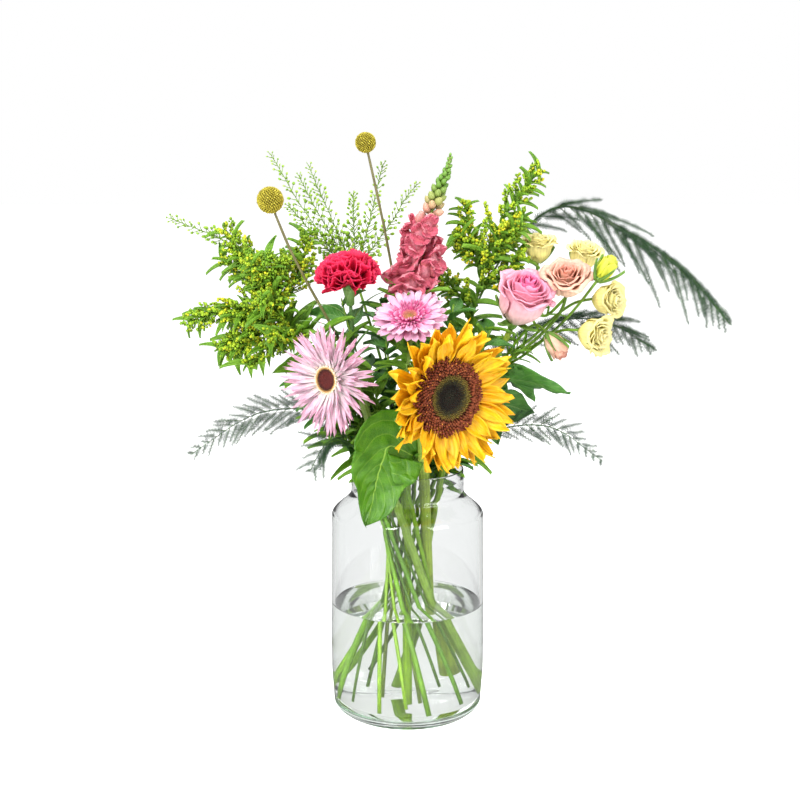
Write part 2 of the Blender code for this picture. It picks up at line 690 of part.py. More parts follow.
def goldenrod(collection):
    stem = STEMS["goldenrod_left"]
    path = stem_route(stem, over_rim(-0.128, 0.024, 0.155), Vector((-0.55, 0.0, 0.8)))
    paint(tube(collection, "goldenrod_left_stem", path, taper(path, stem.thick, 0.0016)), "stem_green")
    top = [(-0.1285, 0.024, 0.156), (-0.150, 0.026, 0.190), (-0.178, 0.022, 0.230)]
    side = [(-0.133, 0.022, 0.147), (-0.172, 0.018, 0.156), (-0.213, 0.010, 0.139)]
    inner = [(-0.122, 0.026, 0.158), (-0.105, 0.032, 0.190), (-0.100, 0.034, 0.224)]
    low = [(-0.123, 0.022, 0.138), (-0.150, 0.012, 0.122), (-0.176, 0.004, 0.100)]
    plume(collection, "goldenrod_left_top", "goldenrod", top, 0.014)
    plume(collection, "goldenrod_left_side", "goldenrod", side, 0.013)
    plume(collection, "goldenrod_left_inner", "goldenrod", inner, 0.013)
    plume(collection, "goldenrod_left_low", "goldenrod", low, 0.012)
    way = Vector((-0.80, -0.55, 0.10))
    side_leaf(collection, "goldenrod_left_leaf", stem, path, 7, way, 0.050, 0.018, Vector((0, 1, 0.2)))

    stem = STEMS["goldenrod_right"]
    path = stem_route(stem, over_rim(0.078, 0.044, 0.200), Vector((0.25, 0.0, 1)))
    paint(tube(collection, "goldenrod_right_stem", path, taper(path, stem.thick, 0.0016)), "stem_green")
    top = [(0.0785, 0.044, 0.202), (0.096, 0.040, 0.246), (0.128, 0.030, 0.286)]
    inner = [(0.0725, 0.043, 0.197), (0.060, 0.041, 0.226), (0.058, 0.038, 0.253)]
    outer = [(0.0835, 0.046, 0.199), (0.100, 0.066, 0.220), (0.118, 0.082, 0.238)]
    plume(collection, "goldenrod_right_top", "goldenrod", top, 0.014)
    plume(collection, "goldenrod_right_inner", "goldenrod", inner, 0.010)
    plume(collection, "goldenrod_right_outer", "goldenrod", outer, 0.011)


def frond(collection, name, points, widest, bare=0.0010):
    """A fern frond: a thin stem in the vase that opens into a feathery, drooping plume."""
    stem = STEMS[name]
    mouth, ahead = leaves_vase(stem)
    knots = [mouth, *[over_rim(*point) for point in points]]
    way = smooth_path([mouth - ahead * EXIT_ABOVE_RIM, *knots], 3)[3:]
    last = len(way) - 1
    widths = [stem.thick]
    for i in range(1, last + 1):
        along = max(0.0, (i / last - BARE_SHARE) / (1 - BARE_SHARE))
        widths.append(bare + (widest - bare) * math.sin(math.pi * along) ** 0.8)
    path = in_vase(stem)[:2] + way
    radii = [stem.thick, stem.thick, *widths]
    return paint(tube(collection, name, path, radii), "fern_green")


def ferns(collection):
    arch = [(0.085, 0.085, 0.180), (0.150, 0.092, 0.250), (0.215, 0.075, 0.232)]
    arch += [(0.275, 0.045, 0.190), (0.316, 0.020, 0.142)]
    droop = [(0.085, 0.082, 0.100), (0.150, 0.075, 0.135), (0.200, 0.050, 0.138), (0.243, 0.022, 0.115)]
    frond(collection, "fern_arch", arch, 0.014)
    frond(collection, "fern_droop", droop, 0.012)
    right = [(0.085, -0.018, 0.040), (0.140, -0.012, 0.042), (0.192, 0.0, 0.006)]
    left = [(-0.085, 0.020, 0.050), (-0.150, 0.018, 0.050), (-0.214, 0.006, 0.012)]
    front = [(-0.062, -0.048, 0.037), (-0.078, -0.062, 0.035), (-0.092, -0.074, 0.012)]
    frond(collection, "fern_low_right", right, 0.012)
    frond(collection, "fern_left", left, 0.012)
    frond(collection, "fern_front", front, 0.009)


def pennycress(collection):
    stem = STEMS["pennycress_left"]
    path = stem_route(stem, over_rim(-0.150, 0.052, 0.195), Vector((-0.6, 0.05, 0.75)))
    paint(tube(collection, "pennycress_left_stem", path, taper(path, stem.thick, 0.0012)), "stem_green")
    spray = [(-0.1507, 0.052, 0.196), (-0.190, 0.045, 0.224), (-0.234, 0.032, 0.242)]
    plume(collection, "pennycress_left_spray", "pennycress_green", spray, 0.009)

    stem = STEMS["pennycress_back"]
    path = stem_route(stem, over_rim(-0.055, 0.064, 0.190), Vector((-0.3, 0.0, 1)))
    paint(tube(collection, "pennycress_back_stem", path, taper(path, stem.thick, 0.0012)), "stem_green")
    sprays = {
        "middle": [(-0.0555, 0.064, 0.192), (-0.080, 0.064, 0.250), (-0.100, 0.062, 0.294)],
        "outer": [(-0.0585, 0.066, 0.186), (-0.105, 0.068, 0.250), (-0.136, 0.062, 0.306)],
        "inner": [(-0.0510, 0.063, 0.190), (-0.036, 0.062, 0.246), (-0.025, 0.060, 0.296)],
    }
    for name, spray in sprays.items():
        plume(collection, "pennycress_back_" + name, "pennycress_green", spray, 0.008)


if __name__ == "__main__":
    main()
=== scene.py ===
"""The looks of a mixed bouquet in a clear glass vase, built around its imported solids.

Every flower is placed on the end of its own stem and takes its size from its own solid, so a bouquet whose
solids move keeps its looks. Lengths are in metres.
"""

import json
import math
import random
from collections import namedtuple

import bmesh
import bpy
import numpy as np
from mathutils import Matrix, Vector, noise


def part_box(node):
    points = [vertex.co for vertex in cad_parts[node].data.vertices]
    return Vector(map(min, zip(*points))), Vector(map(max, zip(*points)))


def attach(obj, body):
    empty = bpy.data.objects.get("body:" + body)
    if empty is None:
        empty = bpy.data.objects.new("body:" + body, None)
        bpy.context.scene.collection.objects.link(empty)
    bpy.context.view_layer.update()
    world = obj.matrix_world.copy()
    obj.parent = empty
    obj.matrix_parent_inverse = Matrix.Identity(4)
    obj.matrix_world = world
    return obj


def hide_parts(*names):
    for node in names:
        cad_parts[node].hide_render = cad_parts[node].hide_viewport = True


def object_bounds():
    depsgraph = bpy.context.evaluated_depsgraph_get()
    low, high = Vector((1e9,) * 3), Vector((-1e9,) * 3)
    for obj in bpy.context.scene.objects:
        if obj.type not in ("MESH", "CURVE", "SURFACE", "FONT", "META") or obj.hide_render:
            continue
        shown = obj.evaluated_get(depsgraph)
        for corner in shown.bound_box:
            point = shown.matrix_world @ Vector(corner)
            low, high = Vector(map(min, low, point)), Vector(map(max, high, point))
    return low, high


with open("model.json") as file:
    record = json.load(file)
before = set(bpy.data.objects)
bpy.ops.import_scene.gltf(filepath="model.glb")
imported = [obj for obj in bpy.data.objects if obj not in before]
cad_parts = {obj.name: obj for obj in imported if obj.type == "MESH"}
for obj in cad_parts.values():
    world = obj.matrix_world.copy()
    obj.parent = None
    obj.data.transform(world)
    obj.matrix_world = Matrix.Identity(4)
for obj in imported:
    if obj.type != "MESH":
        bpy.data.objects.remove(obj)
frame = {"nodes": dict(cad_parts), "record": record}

SOLIDS_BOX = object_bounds()
UP = Vector((0, 0, 1))
BACK_LIMIT = SOLIDS_BOX[1].y + 0.004
GOLDEN_TURN = math.radians(137.508)
FULL_TURN = 2 * math.pi
SEAM = 1e-5  # points nearer than this are one point
ALL_SLOTS = {row["node"]: row["material_slot"] for row in frame["record"]["subparts"]}

Head = namedtuple("Head", "foot axis")


# ================================================================ reading the solids
def welded(node):
    """A merged copy of a solid's mesh, for measuring."""
    work = bmesh.new()
    work.from_mesh(frame["nodes"][node].data)
    bmesh.ops.remove_doubles(work, verts=work.verts, dist=SEAM)
    work.verts.index_update()
    return work


def next_ring(ring, seen):
    """The points beside a ring that no ring had before, always in the same order."""
    around = {e.other_vert(v) for v in ring for e in v.link_edges}
    ring = sorted((v for v in around if v not in seen), key=lambda v: v.index)
    seen.update(ring)
    return ring


def centreline(node, near=None):
    """The middle and radius of each ring of a round stem, from its foot or from its end nearest to a point."""
    work = welded(node)
    far = {v: v.co.z if near is None else (v.co - near).length for v in work.verts}
    first = min(far.values())
    ring = [v for v in work.verts if far[v] < first + 0.0004]
    if near is None:
        ring = sorted(work.verts, key=lambda v: v.co.z)[:8]
    sides = len(ring)
    seen = set(ring)
    line = []
    while len(ring) == sides:
        middle = sum((v.co for v in ring), Vector()) / sides
        line.append((middle, sum((v.co - middle).length for v in ring) / sides))
        ring = next_ring(ring, seen)
    work.free()
    return line


def head_on(stalk, node=None):
    """Where a stem ends and the way that it points there: at its top, or at its end nearest to a solid."""
    line = centreline(stalk)[::-1] if node is None else centreline(stalk, middle_of(node))
    return Head(line[0][0], (line[0][0] - line[1][0]).normalized())


def extent(node, head):
    """A solid's nearest and furthest reach along a head's axis, and its reach out from that axis."""
    points = [v.co - head.foot for v in frame["nodes"][node].data.vertices]
    along = [p.dot(head.axis) for p in points]
    out = [(p - head.axis * a).length for p, a in zip(points, along)]
    return min(along), max(along), max(out)


def middle_of(node):
    low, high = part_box(node)
    return (Vector(low) + Vector(high)) / 2


def spine_of(node, count=9):
    """Points along a long solid, from the end nearest the vase to its tip."""
    work = welded(node)
    points = [v.co.copy() for v in work.verts]
    work.free()
    start = min(points, key=lambda p: (p - Vector((0, 0, 0.25))).length)
    end = max(points, key=lambda p: (p - start).length)
    way = (end - start).normalized()
    reach = (end - start).length
    spine = [start]
    for i in range(1, count - 1):
        share = i / (count - 1)
        near = [p for p in points if abs((p - start).dot(way) / reach - share) < 0.6 / (count - 1)]
        if near:
            spine.append(sum(near, Vector()) / len(near))
    return [*spine, end]


# ================================================================ curves
def smooth(points, steps):
    """A Catmull-Rom curve through the points."""
    knots = [2 * points[0] - points[1], *points, 2 * points[-1] - points[-2]]
    path = []
    for i in range(1, len(knots) - 2):
        a, b, c, d = knots[i - 1 : i + 3]
        for step in range(steps):
            t = step / steps
            path.append(
                0.5 * (
                    2 * b + (c - a) * t + (2 * a - 5 * b + 4 * c - d) * t * t + (3 * b - a - 3 * c + d) * t**3
                )
            )
    return [*path, points[-1]]


def sweep(start, start_way, end, end_way, steps, pull=1.0):
    """A cubic that leaves start along one way and arrives at end along another."""
    span = (end - start).length * pull
    a, b = start_way.normalized() * span, end_way.normalized() * span
    path = []
    for step in range(steps + 1):
        t = step / steps
        path.append(
            (2 * t**3 - 3 * t**2 + 1) * start
            + (t**3 - 2 * t**2 + t) * a
            + (3 * t**2 - 2 * t**3) * end
            + (t**3 - t**2) * b
        )
    return path


def at_share(path, share):
    """The point at a share of a path's points, and the path's direction there."""
    place = min(max(share, 0), 1) * (len(path) - 1)
    i = min(int(place), len(path) - 2)
    return path[i].lerp(path[i + 1], place - i), (path[i + 1] - path[i]).normalized()


def stance(origin, axis, up=UP):
    """A matrix with its +Z along the axis and its +Y as near to up as it can be."""
    z = axis.normalized()
    x = up.cross(z)
    x = x.normalized() if x.length > 1e-4 else Vector((1, 0, 0))
    y = z.cross(x)
    matrix = Matrix((x, y, z)).transposed().to_4x4()
    matrix.translation = origin
    return matrix


def swung(angle, axis):
    return Matrix.Rotation(angle, 4, axis)


def moved(x, y, z):
    return Matrix.Translation((x, y, z))


def sized(size):
    return Matrix.Scale(size, 4)


def outward(at, way, turn, rise):
    """A way out of a stem's side: so far round the stem, and leaning along it by the rise."""
    return stance(at, way).to_3x3() @ Vector((math.cos(turn), math.sin(turn), rise))


def bulge(v, start, peak, fullness=1.0):
    """A leaf-like width from 0 to 1: start at the foot, 1 at the peak and 0 at the tip."""
    if v < peak:
        return start + (1 - start) * math.sin(0.5 * math.pi * v / peak)
    return math.cos(0.5 * math.pi * ((v - peak) / (1 - peak)) ** fullness)


def bulged(*numbers):
    """A width that bulges by these numbers."""
    return lambda v: bulge(v, *numbers)


# ================================================================ making pieces
def blade(name, across, along, place):
    """A grid whose points go where place(u, v) says. Its UV map keeps u and v."""
    bpy.ops.object.select_all(action="DESELECT")
    bpy.ops.mesh.primitive_grid_add(x_subdivisions=across, y_subdivisions=along, size=1, calc_uvs=True)
    piece = bpy.context.object
    piece.name = piece.data.name = name
    for vert in piece.data.vertices:
        vert.co = place(vert.co.x + 0.5, vert.co.y + 0.5)
    return piece


def only(piece):
    bpy.ops.object.select_all(action="DESELECT")
    piece.select_set(True)
    bpy.context.view_layer.objects.active = piece


def apply(piece, kind, **settings):
    """One modifier, applied."""
    only(piece)
    modifier = piece.modifiers.new(kind.title(), kind)
    for key, value in settings.items():
        setattr(modifier, key, value)
    bpy.ops.object.modifier_apply(modifier=modifier.name)
    return piece


def closed(piece):
    """Merges the grid's seam and poles, and turns every face outwards."""
    only(piece)
    bpy.ops.object.mode_set(mode="EDIT")
    bpy.ops.mesh.select_all(action="SELECT")
    bpy.ops.mesh.remove_doubles(threshold=SEAM)
    bpy.ops.mesh.normals_make_consistent(inside=False)
    bpy.ops.object.mode_set(mode="OBJECT")
    bpy.ops.object.shade_smooth()
    return piece


def walled(piece, thickness):
    """A thin sheet given a wall."""
    apply(piece, "SOLIDIFY", thickness=thickness, offset=0)
    bpy.ops.object.shade_smooth()
    return piece


def tube(name, path, radii, sides=12):
    """A round stem along a path, closed at both ends by flat cuts. Its UV map runs round it and along it."""
    rings = [path[0], *path, path[-1]]
    widths = [0.0, *radii, 0.0]
    frames = []
    side = Vector((0, 1, 0))
    for i in range(len(rings)):
        ahead = rings[min(i + 2, len(rings) - 1)] - rings[max(i - 2, 0)]
        side = (side - ahead.normalized() * side.dot(ahead.normalized())).normalized()
        frames.append((side, ahead.normalized().cross(side)))

    def place(u, v):
        i = round(v * (len(rings) - 1))
        a, b = frames[i]
        turn = FULL_TURN * u
        return rings[i] + (a * math.cos(turn) + b * math.sin(turn)) * widths[i]

    return closed(blade(name, sides, len(rings) - 1, place))


def turned(name, profile, steps, matrix):
    """A turned shape on a matrix's Z axis, from a closed profile of (radius, height)."""

    def place(u, v):
        r, z = profile[round(v * (len(profile) - 1))]
        turn = FULL_TURN * u
        return matrix @ Vector((r * math.cos(turn), r * math.sin(turn), z))

    return closed(blade(name, steps, len(profile) - 1, place))


def planted(name, templates, places, tones):
    """Copies of the modelled templates as one piece: each at its own place, in turn, with its own tone."""
    points, faces, coords, tone, first = [], [], [], [], 0
    meshes = [t.data for t in templates]
    for i, (place, value) in enumerate(zip(places, tones)):
        mesh = meshes[i % len(meshes)]
        local = np.empty(len(mesh.vertices) * 3)
        mesh.vertices.foreach_get("co", local)
        matrix = np.array(place)
        points.append(local.reshape(-1, 3) @ matrix[:3, :3].T + matrix[:3, 3])
        faces += [[first + v for v in face.vertices] for face in mesh.polygons]
        uvs = np.empty(len(mesh.loops) * 2)
        mesh.uv_layers[0].data.foreach_get("uv", uvs)
        coords.append(uvs)
        tone.append(np.full(len(mesh.vertices), value))
        first += len(mesh.vertices)
    mesh = bpy.data.meshes.new(name)
    mesh.from_pydata(np.concatenate(points).tolist(), [], faces)
    mesh.uv_layers.new(name="UVMap").data.foreach_set("uv", np.concatenate(coords))
    mesh.attributes.new("tone", "FLOAT", "POINT").data.foreach_set("value", np.concatenate(tone))
    mesh.shade_smooth()
    piece = bpy.data.objects.new(name, mesh)
    bpy.context.scene.collection.objects.link(piece)
    for template in templates:
        bpy.data.objects.remove(template)
    return piece


def joined(name, pieces):
    """Several pieces as one."""
    bpy.ops.object.select_all(action="DESELECT")
    for piece in pieces:
        piece.select_set(True)
    bpy.context.view_layer.objects.active = pieces[0]
    bpy.ops.object.join()
    pieces[0].name = pieces[0].data.name = name
    return pieces[0]


def settle(piece, finish, *nodes):
    """Gives a finished piece its material, and puts it in the place of its solids."""
    piece.data.materials.clear()
    piece.data.materials.append(finish)
    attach(piece, "root")
    if nodes:
        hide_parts(*nodes)
    return piece


def strewn(name, templates, places, rng, finish, *nodes):
    """Copies at their places, each with a tone of its own, as a finished piece."""
    return settle(planted(name, templates, places, [rng.random() for place in places]), finish, *nodes)


# ================================================================ finishes
def srgb(red, green, blue):
    """A colour from its usual 0 to 255 values."""
    return (*(((c / 255 + 0.055) / 1.055) ** 2.4 if c > 10 else c / 3295 for c in (red, green, blue)), 1.0)


def tint(text):
    """A colour from its usual six hexadecimal digits."""
    return srgb(*bytes.fromhex(text))


def stops(text):
    """The colours of a ramp, each written as its place and its colour."""
    return [(float(place), tint(colour)) for place, colour in (stop.split() for stop in text.split(", "))]


class Finish:
    """One material, with short ways of adding its nodes."""

    def __init__(self, name):
        self.material = bpy.data.materials.new(name)
        self.material.use_nodes = True
        self.tree = self.material.node_tree
        self.shader = self.tree.nodes["Principled BSDF"]
        self.output = self.tree.nodes["Material Output"]

    def add(self, kind, inputs=(), **settings):
        node = self.tree.nodes.new(kind)
        for key, value in settings.items():
            setattr(node, key, value)
        for key, value in dict(inputs).items():
            self.put(node.inputs[key], value)
        return node

    def put(self, socket, value):
        if isinstance(value, bpy.types.NodeSocket):
            self.tree.links.new(value, socket)
        else:
            socket.default_value = value

    def math(self, operation, *values):
        return self.add("ShaderNodeMath", enumerate(values), operation=operation).outputs[0]

    def mix(self, blend, share, a, b):
        inputs = {0: share, 6: a, 7: b}
        return self.add("ShaderNodeMix", inputs, data_type="RGBA", blend_type=blend).outputs[2]

    def ramp(self, value, colours):
        node = self.add("ShaderNodeValToRGB", {0: value})
        elements = node.color_ramp.elements
        while len(elements) < len(colours):
            elements.new(0.5)
        for element, (place, colour) in zip(elements, colours):
            element.position, element.color = place, colour
        return node.outputs[0]

    def spread(self, value, low, high, to_low=0.0, to_high=1.0):
        """A smooth step from one number to another."""
        inputs = {0: value, 1: low, 2: high, 3: to_low, 4: to_high}
        return self.add("ShaderNodeMapRange", inputs, interpolation_type="SMOOTHSTEP").outputs[0]

    def uv(self):
        coords = self.add("ShaderNodeTexCoord").outputs["UV"]
        split = self.add("ShaderNodeSeparateXYZ", {0: coords})
        return split.outputs[0], split.outputs[1]

    def noise(self, scale, detail):
        coords = self.add("ShaderNodeTexCoord").outputs["Object"]
        inputs = {"Vector": coords, "Scale": scale, "Detail": detail}
        return self.add("ShaderNodeTexNoise", inputs).outputs[0]

    def tone(self):
        return self.add("ShaderNodeAttribute", attribute_name="tone").outputs["Fac"]

    def close(self, colour, roughness, height=None, depth=0.0002, glow=0.0, **sockets):
        """The shader's own sockets. With some glow, light from behind comes through."""
        self.put(self.shader.inputs["Base Color"], colour)
        self.put(self.shader.inputs["Roughness"], roughness)
        for key, value in sockets.items():
            self.put(self.shader.inputs[key.replace("_", " ").title()], value)
        if height is not None:
            bump = self.add("ShaderNodeBump", {"Strength": 0.7, "Distance": depth, "Height": height})
            self.put(self.shader.inputs["Normal"], bump.outputs[0])
        if glow:
            back = self.add("ShaderNodeBsdfTranslucent", {"Color": colour})
            both = self.add("ShaderNodeMixShader", {0: glow, 1: self.shader.outputs[0], 2: back.outputs[0]})
            self.put(self.output.inputs["Surface"], both.outputs[0])
        return self.material


def petal_finish(name, along, other, share=0.5, veins=9, vein=0.14, roughness=0.5, glow=0.3, depth=0.0002):
    """Petal tissue: its colour changes from foot to tip and from petal to petal. It has fine veins."""
    f = Finish(name)
    u, v = f.uv()
    colour = f.mix("MIX", f.math("MULTIPLY", f.tone(), share), f.ramp(v, along), other)
    lines = f.math("MULTIPLY", f.math("PINGPONG", f.math("MULTIPLY", u, veins), 0.5), 2.0)
    cloud = f.noise(160, 4)
    colour = f.mix(
        "MULTIPLY", 1.0, colour, f.ramp(lines, [(0, srgb(*[255 * (1 - vein)] * 3)), (0.6, tint("ffffff"))])
    )
    colour = f.mix("MULTIPLY", 1.0, colour, f.ramp(cloud, stops("0.25 e2dede, 0.75 ffffff")))
    height = f.math("ADD", lines, f.math("MULTIPLY", f.noise(900, 2), 0.6))
    return f.close(colour, f.spread(cloud, 0.2, 0.8, roughness - 0.06, roughness + 0.1), height, depth, glow)


def leaf_finish(
    name, deep, fresh, rib, veins=9, slant=2.2, roughness=0.42, glow=0.22, edge=None, depth=0.0004, fine=1.0
):
    """Leaf tissue: a pale midrib, slanting side veins with puckered tissue between, and a mottled green."""
    f = Finish(name)
    u, v = f.uv()
    out = f.math("MULTIPLY", f.math("ABSOLUTE", f.math("SUBTRACT", u, 0.5)), 2.0)
    phase = f.math("SUBTRACT", f.math("MULTIPLY", v, veins), f.math("MULTIPLY", out, slant))
    side = f.math("MULTIPLY", f.math("PINGPONG", phase, 0.5), 2.0)
    cloud = f.noise(90, 5)
    green = f.mix("MIX", f.spread(cloud, 0.3, 0.7), deep, fresh)
    green = f.mix("MIX", f.math("MULTIPLY", f.tone(), 0.7), green, fresh)
    net = f.add(
        "ShaderNodeTexVoronoi", {"Vector": f.add("ShaderNodeTexCoord").outputs["Object"], "Scale": 520},
        feature="DISTANCE_TO_EDGE"
    ).outputs[0]
    green = f.mix("MIX", f.spread(net, 0.0, 0.12, 0.22 * fine, 0.0), green, rib)
    green = f.mix("MIX", f.spread(side, 0.0, 0.13, 0.5 * fine, 0.0), green, rib)
    green = f.mix("MIX", f.spread(out, 0.01, 0.05 * fine, 0.85, 0.0), green, rib)
    if edge:
        green = f.mix("MIX", f.spread(out, 0.93, 1.0, 0.0, 0.8), green, edge)
    height = f.math("ADD", f.spread(side, 0.0, 0.6), f.math("MULTIPLY", f.spread(out, 0.0, 0.1), 0.8))
    height = f.math("ADD", height, f.math("MULTIPLY", f.spread(net, 0.0, 0.3), 0.35))
    return f.close(green, f.spread(cloud, 0.2, 0.8, roughness, roughness + 0.16), height, depth, glow)


def stem_finish(name, low, high, flush=None, ribs=14, roughness=0.42):
    """Stem skin: fine ribs along it, a slow change of green up it, and darker flecks."""
    f = Finish(name)
    u, v = f.uv()
    colour = f.ramp(v, [(0.0, low), (0.45, high), (1.0, flush or high)])
    ribbed = f.math("MULTIPLY", f.math("PINGPONG", f.math("MULTIPLY", u, ribs), 0.5), 2.0)
    cloud, flecks = f.noise(70, 4), f.noise(700, 3)
    colour = f.mix("MULTIPLY", 1.0, colour, f.ramp(ribbed, stops("0 dee2d6, 0.7 ffffff")))
    colour = f.mix("MULTIPLY", 1.0, colour, f.ramp(cloud, stops("0.25 cdcdbe, 0.75 ffffff")))
    colour = f.mix("MULTIPLY", 0.6, colour, f.ramp(flecks, stops("0.35 beb9a5, 0.5 ffffff")))
    height = f.math("ADD", ribbed, f.math("MULTIPLY", flecks, 0.5))
    return f.close(colour, f.spread(cloud, 0.2, 0.8, roughness, roughness + 0.15), height, 0.0003)


def toned_finish(name, colours, roughness=0.55, depth=0.0002, glow=0.0, fleck=0.25):
    """Small buds and florets: the colour changes along the ramp from copy to copy, and each one is darkened
    towards its foot, a painted shade where it sits among the others, so its tip is lighter.
    """
    f = Finish(name)
    v = f.uv()[1]
    colour = f.ramp(f.tone(), colours)
    specks = f.noise(1500, 3)
    # Painted shade: a grey that darkens each bud or floret from its middle down to its foot.
    colour = f.mix("MULTIPLY", 1.0, colour, f.ramp(v, stops("0.0 a5a096, 0.55 ffffff")))
    colour = f.mix("MULTIPLY", fleck * 2, colour, f.ramp(specks, stops("0.3 aaa596, 0.6 ffffff")))
    return f.close(colour, f.spread(specks, 0.3, 0.7, roughness - 0.08, roughness + 0.12), specks, depth, glow)


# ================================================================ petals, leaves and buds
def petal(name, length, width, cells, outline, rise, edge=None, wall=0.0):
    """One petal: foot at the origin, +Y to its tip, +Z out of its face. Rise and edge are in its lengths."""

    def place(u, v):
        side = 2 * u - 1
        y = v + (edge(side, v) if edge else 0.0)
        return Vector((0.5 * width * side * outline(v), length * y, length * rise(side, v)))

    piece = blade(name, *cells, place)
    bpy.ops.object.shade_smooth()
    return walled(piece, wall) if wall else piece


def bud(name, radius, length, sides=6, rings=4, fullness=0.7):
    """A small closed bud standing on the origin along +Z."""
    steps = [i / rings for i in range(rings + 1)]
    profile = [(radius * max(0, math.sin(math.pi * t)) ** fullness if t < 1 else 0, length * t) for t in steps]
    return turned(name, profile, sides, Matrix())


def bent_leaf(
    name, spine, face, width, outline, cells=(14, 28), hollow=0.12, ripple=0.03, teeth=0.0, seed=0, lobes=0.0
):
    """A leaf whose midrib follows the spine. Its tissue is hollow between the ribs and ripples at the edge."""
    path = smooth(spine, 8)
    rng = random.Random(seed)
    phase = rng.uniform(0, 6)

    def place(u, v):
        side = 2 * u - 1
        point, way = at_share(path, v)
        across = way.cross(face).normalized()
        up = across.cross(way)
        half = 0.5 * width * outline(v) * (1 + teeth * abs(((v * 16) % 1) - 0.5) * abs(side) ** 6)
        out = point + across * (side * half) - way * (lobes * width * abs(side) ** 1.5 * max(0, 1 - 3 * v))
        lift = -hollow * width * math.cos(0.5 * math.pi * side) * min(1, 4 * v * (1 - v) + 0.2)
        lift += ripple * width * math.sin(v * 17 + phase + side) * side * side
        lift += 0.012 * width * math.sin(6.283 * (v * 8 - abs(side) * 1.8)) * (1 - side * side)
        return out + up * lift

    return walled(blade(name, *cells, place), 0.00035)


def facing_of(node, way):
    """The way a flat solid faces, on the side nearest to the one given."""
    points = np.array([v.co for v in frame["nodes"][node].data.vertices])
    normal = Vector(np.linalg.svd(points - points.mean(0), full_matrices=False)[2][2])
    return normal if normal.dot(way) > 0 else -normal


def laid(origin, way, face, size=1.0):
    """A matrix with its +Y along the way and its +Z as near to the face as it can be."""
    y = way.normalized()
    x = y.cross(face)
    x = x.normalized() if x.length > 1e-5 else y.orthogonal().normalized()
    z = x.cross(y)
    matrix = Matrix((x * size, y * size, z * size)).transposed().to_4x4()
    matrix.translation = origin
    return matrix


def whorl(base, rng, count, radius, tilt, lift=0.0, turn=0.0, loose=(0.08, 5, 8), sizes=(0.9, 1.08)):
    """Places for one ring of petals round a head. The tilt is how far each rises to the front, in degrees."""
    places = []
    for i in range(count):
        angle = turn + FULL_TURN * i / count + rng.uniform(-1, 1) * loose[0]
        lean = math.radians(tilt + rng.uniform(-1, 1) * loose[1])
        roll = math.radians(rng.uniform(-1, 1) * loose[2])
        places.append(
            base
            @ swung(-angle, "Z")
            @ moved(0, radius, lift)
            @ swung(lean, "X")
            @ swung(roll, "Y")
            @ sized(rng.uniform(*sizes))
        )
    return places


def rings(base, rng, rows):
    """Places for several rings. A row says its count, radius, tilt, lift, turn, looseness and sizes."""
    return [place for row in rows for place in whorl(base, rng, *row)]


def seeded(base, rng, count, inner, outer, height, lean=0.0, sizes=(0.9, 1.1)):
    """Places for florets in seed order from an inner to an outer radius, and each one's share of the outer."""
    places, shares = [], []
    first = (inner / outer) ** 2
    for i in range(count):
        share = math.sqrt(first + (1 - first) * (i + 0.5) / count)
        r = share * outer
        places.append(
            base
            @ swung(i * GOLDEN_TURN, "Z")
            @ moved(0, r, height(share))
            @ swung(-lean * share + rng.uniform(-0.08, 0.08), "X")
            @ swung(rng.uniform(0, 6), "Z")
            @ sized(rng.uniform(*sizes))
        )
        shares.append(share)
    return places, shares


def toned(piece, value):
    """Gives every point of a piece one tone."""
    data = piece.data.attributes.new("tone", "FLOAT", "POINT").data
    data.foreach_set("value", np.full(len(data), value))
    return piece


def wound(name, base, radius, height, count, spread, seed, wall=0.0003, lean=0.35, heart=0.2):
    """Broad cupped petals wound round an axis, from a tight heart to loose outer ones."""
    rng = random.Random(seed)
    pieces = []
    for i in range(count):
        share = i / (count - 1)
        turn = i * GOLDEN_TURN + rng.uniform(-0.2, 0.2)
        belly = radius * (heart + (1 - heart) * share**0.85) * rng.uniform(0.96, 1.03)
        tall = height * (1.0 - 0.16 * share + rng.uniform(-0.03, 0.03))
        span = math.radians(205 - 75 * share)
        phase, ruffle = rng.uniform(0, 6), 0.03 + 0.07 * share

        def place(u, v, share=share, turn=turn, belly=belly, tall=tall, span=span, phase=phase, ruffle=ruffle):
            side = 2 * u - 1
            width = math.sin(0.5 * math.pi * min(1, 0.22 + 1.3 * v)) * (1 - 0.18 * max(0, v - 0.75) / 0.25)
            angle = turn + 0.5 * span * side * width + 0.25 * (1 - share) * v
            r = belly * (0.30 + 0.70 * math.sin(0.5 * math.pi * min(1, v / 0.55)))
            r *= 1 - 0.30 * (1 - share) * max(0, v - 0.45)
            r += radius * spread * share * max(0, v - 0.5) ** 1.6
            lip = max(0, v - 0.8) / 0.2
            r += radius * lean * share * lip * lip * (0.45 + 0.55 * (1 - side * side))
            z = tall * (v - 0.10 * v * abs(side) ** 2.2) - radius * lean * 0.55 * share * lip**3
            r += radius * ruffle * math.sin(5 * side + phase) * v**3
            z += radius * ruffle * (math.sin(6 * side + 2 * phase) + 0.5 * math.sin(13 * side + phase)) * v**3
            r += radius * 0.03 * side * side * side
            return base @ Vector((r * math.cos(angle), r * math.sin(angle), z))

        pieces.append(toned(walled(blade(name, 12, 11, place), wall), share))
    return joined(name, pieces)


